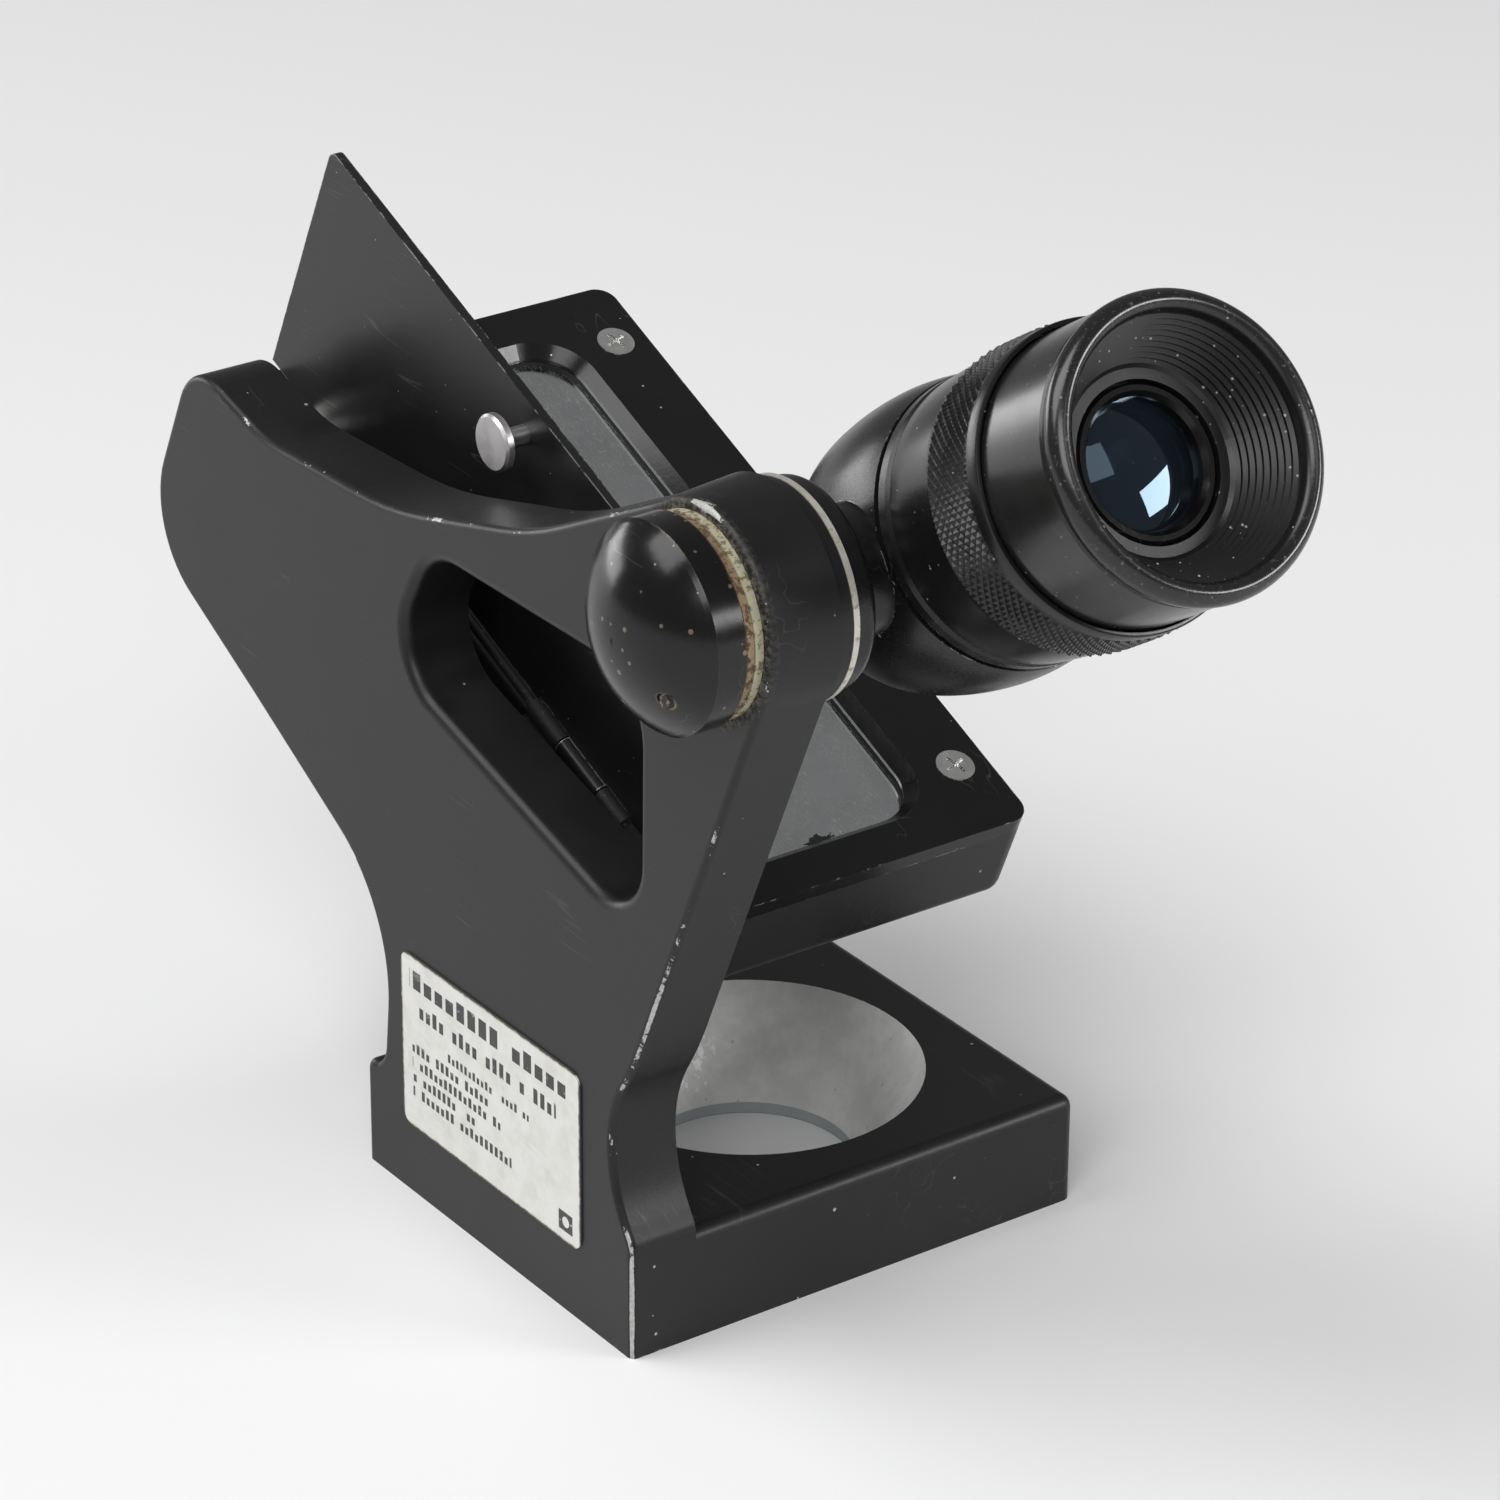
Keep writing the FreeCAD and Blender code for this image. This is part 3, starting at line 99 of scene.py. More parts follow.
# ------------------------------------------------------------------ shader expressions
class Value:
    """A shader number that takes part in Python arithmetic."""

    def __init__(self, graph: "Graph", socket: bpy.types.NodeSocket) -> None:
        """Wrap an output socket of the graph."""
        self.graph = graph
        self.socket = socket

    def _math(self, operation: str, *others: "Value | Number") -> "Value":
        """Add one Math node.

        Args:
            operation: the Math node's operation.
            others: its operands, in order.

        Returns:
            The node's result.
        """
        slots = dict(enumerate(others))
        node = self.graph.add("ShaderNodeMath", {"operation": operation}, slots)
        return Value(self.graph, node.outputs[0])

    def __add__(self, other: "Value | Number") -> "Value":
        """Sum."""
        return self._math("ADD", self, other)

    __radd__ = __add__

    def __sub__(self, other: "Value | Number") -> "Value":
        """Difference."""
        return self._math("SUBTRACT", self, other)

    def __rsub__(self, other: "Value | Number") -> "Value":
        """Difference from a number."""
        return self._math("SUBTRACT", other, self)

    def __mul__(self, other: "Value | Number") -> "Value":
        """Product."""
        return self._math("MULTIPLY", self, other)

    __rmul__ = __mul__

    def __truediv__(self, other: "Value | Number") -> "Value":
        """Quotient."""
        return self._math("DIVIDE", self, other)

    def __abs__(self) -> "Value":
        """Size without sign."""
        return self._math("ABSOLUTE", self)

    def __pow__(self, other: "Value | Number") -> "Value":
        """Power."""
        return self._math("POWER", self, other)

    def least(self, other: "Value | Number") -> "Value":
        """The smaller of the two."""
        return self._math("MINIMUM", self, other)

    def most(self, other: "Value | Number") -> "Value":
        """The larger of the two."""
        return self._math("MAXIMUM", self, other)

    def floor(self) -> "Value":
        """Whole part."""
        return self._math("FLOOR", self)

    def wrapped(self) -> "Value":
        """Fractional part."""
        return self._math("FRACT", self)

    def below(self, limit: "Value | Number") -> "Value":
        """One where the value is under the limit."""
        return self._math("LESS_THAN", self, limit)

    def above(self, limit: "Value | Number") -> "Value":
        """One where the value is over the limit."""
        return self._math("GREATER_THAN", self, limit)

    def ramp(self, low: Number, high: Number, to_low: Number = 0.0, to_high: Number = 1.0) -> "Value":
        """Smooth step from one number to another.

        Args:
            low: value at which the step begins.
            high: value at which it ends.
            to_low: result at and under the beginning.
            to_high: result at and over the end.

        Returns:
            The stepped value.
        """
        node = self.graph.add(
            "ShaderNodeMapRange", {"interpolation_type": "SMOOTHSTEP", "clamp": True},
            {"Value": self, "From Min": low, "From Max": high, "To Min": to_low, "To Max": to_high})
        return Value(self.graph, node.outputs["Result"])


class Point:
    """A shader vector, in millimetres of the row frame."""

    def __init__(self, graph: "Graph", socket: bpy.types.NodeSocket) -> None:
        """Wrap an output socket of the graph."""
        self.graph = graph
        self.socket = socket

    def _vector(self, operation: str, other: "Point | Vector | Number | None" = None) -> bpy.types.Node:
        """Add one Vector Math node.

        Args:
            operation: the node's operation.
            other: second operand, or the scale where that is a number.

        Returns:
            The node.
        """
        slots: dict[int | str, object] = {0: self}
        if isinstance(other, (int, float)):
            slots["Scale"] = other
        elif other is not None:
            slots[1] = other
        return self.graph.add("ShaderNodeVectorMath", {"operation": operation}, slots)

    def __sub__(self, other: "Point | Vector") -> "Point":
        """Difference."""
        return Point(self.graph, self._vector("SUBTRACT", other).outputs[0])

    def __mul__(self, other: "Vector | Number") -> "Point":
        """Scaled by a number, or part by part by a vector."""
        kind = "SCALE" if isinstance(other, (int, float)) else "MULTIPLY"
        return Point(self.graph, self._vector(kind, other).outputs[0])

    def dot(self, other: "Point | Vector") -> Value:
        """Dot product."""
        return Value(self.graph, self._vector("DOT_PRODUCT", other).outputs["Value"])

    def length(self) -> Value:
        """Length."""
        return Value(self.graph, self._vector("LENGTH").outputs["Value"])

    def part(self, axis: Axis) -> Value:
        """One component."""
        node = self.graph.add("ShaderNodeSeparateXYZ", {}, {0: self})
        return Value(self.graph, node.outputs[axis.value])


class Graph:
    """The node tree of one material, with the textures that finishes are made of."""

    def __init__(self, name: str) -> None:
        """Start an empty material of that name."""
        self.material = bpy.data.materials.new(name)
        self.material.use_nodes = True
        self.tree = self.material.node_tree
        self.tree.nodes.clear()
        self._place: Point | None = None

    def add(self, kind: str, settings: dict[str, object], inputs: dict[int | str, object]) -> bpy.types.Node:
        """Add a node.

        Args:
            kind: the node's type.
            settings: properties to set before its sockets are filled.
            inputs: values or links, by socket name or number.

        Returns:
            The node.
        """
        node = self.tree.nodes.new(kind)
        for key, setting in settings.items():
            setattr(node, key, setting)
        for key, given in inputs.items():
            self.feed(node.inputs[key], given)
        return node

    def feed(self, socket: bpy.types.NodeSocket, given: object) -> None:
        """Link or set one input socket.

        Args:
            socket: the input.
            given: a value, place or socket to link, or a number, colour or vector to set.
        """
        if isinstance(given, (Value, Point)):
            self.tree.links.new(given.socket, socket)
        elif isinstance(given, bpy.types.NodeSocket):
            self.tree.links.new(given, socket)
        elif isinstance(given, tuple) and len(given) == 3 and socket.type == "RGBA":
            socket.default_value = (*given, 1.0)
        else:
            socket.default_value = given

    @property
    def place(self) -> Point:
        """Place on the object in millimetres of the row frame; it stays with the piece when posed."""
        if self._place is None:
            node = self.add("ShaderNodeTexCoord", {}, {})
            self._place = Point(self, node.outputs["Object"]) * (1.0 / MM)
        return self._place

    def noise(self, at: Point, size: float, detail: float = 3.0, roughness: float = 0.55) -> Value:
        """Soft noise between 0 and 1.

        Args:
            at: where it is read.
            size: size of its features, in the units of the place.
            detail: number of finer layers.
            roughness: weight of the finer layers.

        Returns:
            The noise.
        """
        node = self.add("ShaderNodeTexNoise", {},
                        {"Vector": at, "Scale": 1.0 / size, "Detail": detail, "Roughness": roughness})
        return Value(self, node.outputs[0])

    def cells(self, at: Point, size: float, jitter: float = 1.0) -> tuple[Value, Value]:
        """Scattered points.

        Args:
            at: where they are read.
            size: mean spacing.
            jitter: how irregular they are.

        Returns:
            Distance to the nearest point in spacings, and a random number that belongs to it.
        """
        node = self.add("ShaderNodeTexVoronoi", {"feature": "F1"},
                        {"Vector": at, "Scale": 1.0 / size, "Randomness": jitter})
        distance = Value(self, node.outputs[Cell.DISTANCE.value])
        split = self.add("ShaderNodeSeparateColor", {}, {0: node.outputs[Cell.COLOUR.value]})
        return distance, Value(self, split.outputs[0])

    def edge(self, reach: float) -> Value:
        """Find the sharp edges.

        Args:
            reach: distance over which the mask fades, in millimetres.

        Returns:
            One on an edge, zero on flats.
        """
        rounded = self.add("ShaderNodeBevel", {"samples": 6}, {"Radius": reach * MM})
        flat = self.add("ShaderNodeNewGeometry", {}, {})
        turned = Point(self, rounded.outputs[0]).dot(Point(self, flat.outputs["Normal"]))
        return ((1.0 - turned) * 5.0).least(1.0)

    def facing(self) -> Point:
        """The surface normal."""
        return Point(self, self.add("ShaderNodeNewGeometry", {}, {}).outputs["Normal"])

    def turned(self, at: Point, origin: Vector, axis: Vector) -> tuple[Value, Value]:
        """Read a place as turned coordinates.

        Args:
            at: the place.
            origin: a point of the axis, in millimetres.
            axis: unit vector along it.

        Returns:
            Station along the axis and distance from it.
        """
        offset = at - origin
        along = offset.dot(axis)
        return along, (offset.dot(offset) - along * along).most(0.0) ** 0.5

    def blend(self, share: Value | Number, first: object, second: object) -> bpy.types.NodeSocket:
        """Mix two colours.

        Args:
            share: how much of the second shows.
            first: colour or socket.
            second: colour or socket.

        Returns:
            The mixed colour's socket.
        """
        node = self.add("ShaderNodeMix", {"data_type": "RGBA", "clamp_factor": True}, {})
        self.feed(node.inputs[0], share)
        self.feed(node.inputs[6], first)
        self.feed(node.inputs[7], second)
        return node.outputs[2]

    def bump(self, height: Value, depth: float, strength: float = 1.0) -> bpy.types.NodeSocket:
        """Turn a height into relief.

        Args:
            height: relief between 0 and 1.
            depth: its full depth, in millimetres.
            strength: share of the relief that is used.

        Returns:
            The bent normal's socket.
        """
        node = self.add("ShaderNodeBump", {},
                        {"Height": height, "Distance": depth * MM, "Strength": strength})
        return node.outputs[0]

    def scratches(self, at: Point, turn: tuple[float, float, float], width: float, gap: float) -> Value:
        """Fine lines that run one way and come and go.

        Args:
            at: where they are read.
            turn: rotation of the run, in degrees.
            width: mean spacing across the run, in millimetres.
            gap: how much of the surface stays free, from 0 to 1.

        Returns:
            One on a line.
        """
        turned = self.add("ShaderNodeMapping", {}, {
            "Vector": at, "Rotation": tuple(math.radians(a) for a in turn), "Scale": (1.0, 0.045, 1.0)})
        line = self.noise(Point(self, turned.outputs[0]), width, 1.0, 0.4)
        patch = self.noise(at, 14.0, 2.0).ramp(gap, gap + 0.1)
        return (1.0 - abs(line - 0.5).ramp(0.0, 0.016)) * patch

    def specks(self, at: Point, spacing: float, radius: float, share: float) -> Value:
        """Small scattered spots.

        Args:
            at: where they are read.
            spacing: mean distance between candidate spots, in millimetres.
            radius: radius of the largest, in millimetres.
            share: share of candidates that show.

        Returns:
            One on a spot.
        """
        distance, chance = self.cells(at, spacing)
        size = (chance - (1.0 - share)) * (radius / spacing / share)
        return (size - distance).ramp(0.0, 0.25 * radius / spacing)

    def shade(self, **sockets: object) -> bpy.types.Material:
        """Close the material with one Principled shader.

        Args:
            sockets: the shader's inputs, with underscores for spaces in their names.

        Returns:
            The finished material.
        """
        given = {key.replace("_", " "): setting for key, setting in sockets.items()}
        node = self.add("ShaderNodeBsdfPrincipled", {}, given)
        self.add("ShaderNodeOutputMaterial", {}, {"Surface": node.outputs[0]})
        return self.material


# ------------------------------------------------------------------ finishes
@dataclass(frozen=True)
class Spot:
    """A place, in millimetres of the row frame, where the wear is heavier."""

    at: Vector
    radius: float
    strength: float = 1.0


@dataclass(frozen=True)
class Enamel:
    """Black or dark paint over light alloy, chipped at its edges."""

    name: str
    colour: Colour = (0.0062, 0.0066, 0.0062)
    roughness: float = 0.40
    specular: float = 0.34
    metal: Colour = (0.62, 0.62, 0.60)
    edge_reach: float = 0.7
    wear: float = 0.5
    nicks: float = 0.4
    nick_spacing: float = 3.0
    nick_radius: float = 0.32
    grain: float = 0.35
    grain_depth: float = 0.012
    dust: float = 0.12
    spots: tuple[Spot, ...] = ()

    def rim(self, graph: Graph) -> Value:
        """Where the paint rubs first: one on edges, zero on flats."""
        return graph.edge(self.edge_reach)

    def chips(self, graph: Graph) -> Value:
        """Find where the paint is gone.

        Args:
            graph: the material under way.

        Returns:
            Mask of the bare metal.
        """
        at = graph.place
        local: Value | Number = 0.0
        for spot in self.spots:
            near = (at - spot.at).length().ramp(spot.radius, 0.0) * spot.strength
            local = near if isinstance(local, float) else local.most(near)
        edge = self.rim(graph)
        ragged = graph.noise(at, 0.9, 5.0, 0.7)
        patch = graph.noise(at, 7.0, 2.0)
        level = edge * (patch * 0.7 + self.wear * 0.4) + ragged * 0.75
        if not isinstance(local, float):
            level = level + local * (edge * 0.08 + 0.2)
        worn = level.ramp(0.92, 0.97)
        nick = graph.specks(at, self.nick_spacing, self.nick_radius, self.nicks)
        return worn.most(nick * 0.8)

    def base(self, graph: Graph) -> tuple[bpy.types.NodeSocket, Value, Value]:
        """Make the paint alone.

        Args:
            graph: the material under way.

        Returns:
            Its colour, roughness and relief.
        """
        at = graph.place
        cloud = graph.noise(at, 16.0, 4.0)
        fine = graph.noise(at, self.grain, 2.0)
        colour = graph.blend(cloud.ramp(0.3, 0.75), self.colour, tuple(c * 1.35 for c in self.colour))
        rough = self.roughness + (cloud - 0.5) * 0.14 + (fine - 0.5) * 0.08
        return colour, rough, fine

    def build(self) -> bpy.types.Material:
        """Make the material."""
        graph = Graph(self.name)
        at = graph.place
        colour, rough, fine = self.base(graph)
        chips = self.chips(graph)
        hair = graph.scratches(at, (20.0, 35.0, 50.0), 2.6, 0.56)
        metal = graph.blend(graph.noise(at, 0.6, 2.0), tuple(c * 0.6 for c in self.metal), self.metal)
        colour = graph.blend(hair * 0.3, colour, (0.10, 0.10, 0.097))
        colour = graph.blend(chips, colour, metal)
        lint = graph.specks(at, 2.4, 0.10, 0.30) * self.dust * 4.0
        colour = graph.blend(lint.least(0.7), colour, (0.42, 0.41, 0.39))
        relief = fine * 0.35 + (1.0 - chips) * 0.65
        return graph.shade(
            Base_Color=colour, Roughness=(rough - hair * 0.05 + chips * 0.05 + lint * 0.3).least(0.95),
            Metallic=chips * 0.6, Specular_IOR_Level=self.specular,
            Normal=graph.bump(relief, self.grain_depth + 0.03, 0.7))


@dataclass(frozen=True)
class CastingPaint(Enamel):
    """The casting's satin paint, with the pale pitted cone carrying a painted highlight, and the greasy boss
    face.
    """

    boss: Vector = Vector()
    boss_radius: float = 15.2
    rim_depth: float = 1.4
    window_low: tuple[float, float] = (12.4, -56.2)
    window_high: tuple[float, float] = (76.4, -14.2)
    cone_radius: float = 25.4
    land_height: float = 1.8
    base_height: float = 16.8
    painted_sheen_at: tuple[float, float, float] = (0.5, 20.5, 9.5)
    painted_sheen_reach: float = 11.0

    def rim(self, graph: Graph) -> Value:
        """Find the rounded border of the arm's outer face, and the sharper edges elsewhere.

        Args:
            graph: the material under way.

        Returns:
            One on the border, less inside the window.
        """
        sideways = abs(graph.facing().part(Axis.X))
        border = sideways.ramp(0.30, 0.60) * sideways.ramp(0.97, 0.88)
        shallow = graph.place.part(Axis.X).below(self.boss.x + self.rim_depth)
        back, up = graph.place.part(Axis.Y), graph.place.part(Axis.Z)
        low, high = self.window_low, self.window_high
        window = back.above(self.boss.y + low[0]) * back.below(self.boss.y + high[0])
        window = window * up.above(self.boss.z + low[1]) * up.below(self.boss.z + high[1])
        return (border * shallow).most(graph.edge(self.edge_reach) * 0.75) * (1.0 - window * 0.45)

    def build(self) -> bpy.types.Material:
        """Make the material."""
        graph = Graph(self.name)
        at = graph.place
        colour, rough, fine = self.base(graph)
        chips = self.chips(graph)
        hair = graph.scratches(at, (15.0, 60.0, 25.0), 3.4, 0.58)
        metal = graph.blend(graph.noise(at, 0.5, 2.0), (0.26, 0.26, 0.25), self.metal)
        colour = graph.blend(hair * 0.25, colour, (0.09, 0.09, 0.087))

        # grease and grit that gather round the washers on the boss face
        flat = at * Vector((0.0, 1.0, 1.0)) - Vector((0.0, self.boss.y, self.boss.z))
        from_pivot = flat.length()
        outer = at.part(Axis.X).below(self.boss.x + self.rim_depth)
        grit = from_pivot.ramp(self.boss_radius + 0.6, self.boss_radius - 1.6) * outer
        clump = graph.noise(at, 0.7, 4.0, 0.7).ramp(0.42, 0.62)
        colour = graph.blend(grit * clump * 0.8, colour, (0.16, 0.14, 0.11))

        # the light-grey inside of the base cone, with a painted highlight streaked across its back-left wall
        from_axis = (at * Vector((1.0, 1.0, 0.0))).length()
        height = at.part(Axis.Z)
        cone = from_axis.below(self.cone_radius - 0.03) * height.above(0.05)
        cone = cone * height.below(self.base_height - 0.02)
        pits = graph.specks(at, 2.0, 0.34, 0.5)
        blotch = graph.noise(at, 5.0, 4.0, 0.65)
        pale = graph.blend(blotch.ramp(0.35, 0.7), (0.56, 0.565, 0.55), (0.66, 0.665, 0.65))
        pale = graph.blend(pits * 0.35, pale, (0.22, 0.22, 0.21))
        # painted highlight: a bright streaky sheen laid into the cone's colour round its back-left wall,
        # standing in for light that falls there, not wear
        side = (at - Vector(self.painted_sheen_at)).length().ramp(self.painted_sheen_reach, 4.0)
        wear_and_sheen = (graph.noise(at * Vector((1.0, 1.0, 0.35)), 1.3, 5.0, 0.75) + side * 0.16).ramp(0.66, 0.72)
        pale = graph.blend(wear_and_sheen * side * 0.9, pale, (0.92, 0.92, 0.90))
        land = height.below(self.land_height)
        pale = graph.blend(land * 0.85, pale, (0.30, 0.33, 0.34))

        colour = graph.blend(chips * (1.0 - cone * 0.6), colour, metal)
        colour = graph.blend(cone, colour, pale)
        lint = graph.specks(at, 3.2, 0.10, 0.25) * 0.35
        colour = graph.blend(lint, colour, (0.42, 0.41, 0.39))
        relief = fine * 0.35 + (1.0 - chips) * 0.65 - grit * clump * 0.6 - cone * pits * 0.8
        shine = rough - hair * 0.05 + chips * 0.05 + grit * 0.35 + cone * 0.1
        return graph.shade(
            Base_Color=colour, Roughness=shine.least(0.95), Metallic=chips * (1.0 - cone) * 0.5,
            Specular_IOR_Level=self.specular,
            Normal=graph.bump(relief, self.grain_depth + 0.04, 0.7))


@dataclass(frozen=True)
class BareMetal:
    """Turned or plated metal with stains and fine marks."""

    name: str
    colour: Colour = (0.62, 0.61, 0.58)
    stain: Colour = (0.30, 0.22, 0.14)
    stained: float = 0.2
    roughness: float = 0.3
    metallic: float = 1.0
    run: tuple[float, float, float] = (0.0, 0.0, 0.0)

    def build(self) -> bpy.types.Material:
        """Make the material."""
        graph = Graph(self.name)
        at = graph.place
        cloud = graph.noise(at, 3.0, 4.0, 0.65)
        marks = graph.scratches(at, self.run, 0.8, 0.4)
        spots = graph.noise(at, 1.1, 4.0, 0.7).ramp(0.66 - self.stained * 0.45, 0.72 - self.stained * 0.4)
        colour = graph.blend(cloud.ramp(0.3, 0.7), tuple(c * 0.82 for c in self.colour), self.colour)
        colour = graph.blend(spots * min(1.0, self.stained * 3.0), colour, self.stain)
        rough = self.roughness + (cloud - 0.5) * 0.2 + marks * 0.12 + spots * self.stained
        return graph.shade(
            Base_Color=colour, Roughness=rough.most(0.05).least(0.95),
            Metallic=self.metallic * (1.0 - spots * min(1.0, self.stained * 2.0)),
            Normal=graph.bump(cloud * 0.6 + marks * 0.4, 0.01, 0.6))


@dataclass(frozen=True)
class TurnedAxis:
    """A line that turned pieces share: a point of it in millimetres, and its direction."""

    point: Vector
    along: Vector

    @classmethod
    def of_joint(cls, joint: dict[str, object]) -> "TurnedAxis":
        """The axis of one of the record's joints."""
        return cls(Vector(joint["pos_m"]) / MM, Vector(joint["axis"]).normalized())

    @property
    def side(self) -> Vector:
        """Unit vector square to the axis, along the row's X."""
        return Vector((1.0, 0.0, 0.0))

    @property
    def up(self) -> Vector:
        """Unit vector square to the axis, upwards."""
        return self.side.cross(-self.along)

    def place(self, station: float, radius: float, angle: float) -> Vector:
        """Find a point round the axis.

        Args:
            station: distance from the axis's own point, in millimetres.
            radius: distance from the axis.
            angle: bearing in radians.

        Returns:
            The point in metres of the row frame.
        """
        spoke = (self.side * math.cos(angle) + self.up * math.sin(angle)) * radius
        return (self.point + self.along * station + spoke) * MM


@dataclass(frozen=True)
class Moulded:
    """Black thermoset moulding, semi-gloss with a rubbed rim."""

    name: str
    axis: TurnedAxis
    rim_station: float = 48.6
    rim_radius: float = 17.4

    def build(self) -> bpy.types.Material:
        """Make the material."""
        graph = Graph(self.name)
        at = graph.place
        along, radial = graph.turned(at, self.axis.point, self.axis.along)
        rim = along.ramp(self.rim_station, self.rim_station + 1.2)
        rim = rim * radial.ramp(self.rim_radius - 0.6, self.rim_radius)
        inside = radial.ramp(self.rim_radius + 1.0, self.rim_radius - 0.8)
        ragged = graph.noise(at, 0.8, 5.0, 0.7)
        wear_and_sheen = (rim * 0.4 + ragged).ramp(0.98, 1.10)
        dust = graph.specks(at, 1.1, 0.24, 0.6) * (0.25 + inside * 0.75)
        hair = graph.scratches(at, (60.0, 10.0, 0.0), 2.0, 0.5)
        cloud = graph.noise(at, 6.0, 4.0)
        colour = graph.blend(cloud, (0.006, 0.0062, 0.006), (0.010, 0.0102, 0.010))
        colour = graph.blend(wear_and_sheen * 0.6, colour, (0.09, 0.088, 0.085))
        colour = graph.blend(hair * 0.2, colour, (0.06, 0.06, 0.058))
        colour = graph.blend(dust, colour, (0.33, 0.32, 0.30))
        rough = 0.22 + (cloud - 0.5) * 0.12 + wear_and_sheen * 0.22 + inside * 0.10 + dust * 0.3
        return graph.shade(Base_Color=colour, Roughness=rough,
                           Normal=graph.bump(ragged * 0.5 + (1.0 - wear_and_sheen) * 0.5, 0.012, 0.5))


@dataclass(frozen=True)
class FrontMirror:
    """Front-silvered glass with wipe marks, specks and a worn rim."""

    name: str
    line: TurnedAxis
    centre_x: float
    half_width: float = 19.2
    start: float = 8.0
    length: float = 98.4
    scar_station: float = 1.2
    scar_side: float = 2.4

    def build(self) -> bpy.types.Material:
        """Make the material."""
        graph = Graph(self.name)
        at = graph.place
        along = (at - self.line.point).dot(self.line.along)
        across = abs(at.part(Axis.X) - self.centre_x)
        wipe = graph.scratches(at, (0.0, 0.0, 68.0), 0.7, 0.30)
        wipe = wipe.most(graph.scratches(at, (0.0, 0.0, 22.0), 1.1, 0.40))
        haze = graph.noise(at, 11.0, 5.0, 0.6)
        specks = graph.specks(at, 1.5, 0.07, 0.4)
        ragged = graph.noise(at, 1.2, 5.0, 0.7)
        margin = (self.half_width - across).least(along - self.start).least(self.start + self.length - along)
        flaked = (ragged * 1.5 - margin).ramp(0.55, 0.75)
        beside = abs(at.part(Axis.X) - (self.centre_x + self.scar_side))
        scar = ragged * 2.6 + 0.4 - abs(along - (self.start + self.scar_station)) * 0.9 - beside * 0.32
        scar = scar.ramp(0.7, 0.8)
        colour = graph.blend(haze.ramp(0.3, 0.7), (0.56, 0.58, 0.58), (0.66, 0.68, 0.68))
        colour = graph.blend((wipe * 0.45).least(0.5), colour, (0.90, 0.91, 0.90))
        colour = graph.blend(specks * 0.6, colour, (0.35, 0.34, 0.32))
        bare = scar.most(flaked * 0.8)
        colour = graph.blend(bare, colour, (0.02, 0.02, 0.02))
        rough = 0.06 + haze.ramp(0.35, 0.8) * 0.09 + wipe * 0.28 + specks * 0.3
        return graph.shade(Base_Color=colour, Roughness=rough, Metallic=1.0 - bare * 0.9,
                           Normal=graph.bump(1.0 - wipe, 0.004, 0.3))


@dataclass(frozen=True)
class CoatedGlass:
    """Optical glass with a blue reflecting coat and a little dust."""

    name: str
    tint: Colour = (0.10, 0.14, 0.20)
    coat: Colour = (0.55, 0.78, 1.0)
    clear: float = 0.5

    def build(self) -> bpy.types.Material:
        """Make the material."""
        graph = Graph(self.name)
        at = graph.place
        dust = graph.specks(at, 1.1, 0.075, 0.35)
        smear = graph.noise(at, 2.6, 4.0, 0.6)
        colour = graph.blend(dust * 0.9, tuple(c * 0.12 for c in self.tint), (0.8, 0.8, 0.78))
        return graph.shade(
            Base_Color=colour, Roughness=(smear.ramp(0.45, 0.9) * 0.04 + dust * 0.5 + 0.012),
            Transmission_Weight=self.clear, IOR=1.62, Specular_Tint=(*self.coat, 1.0), Specular_IOR_Level=0.5)


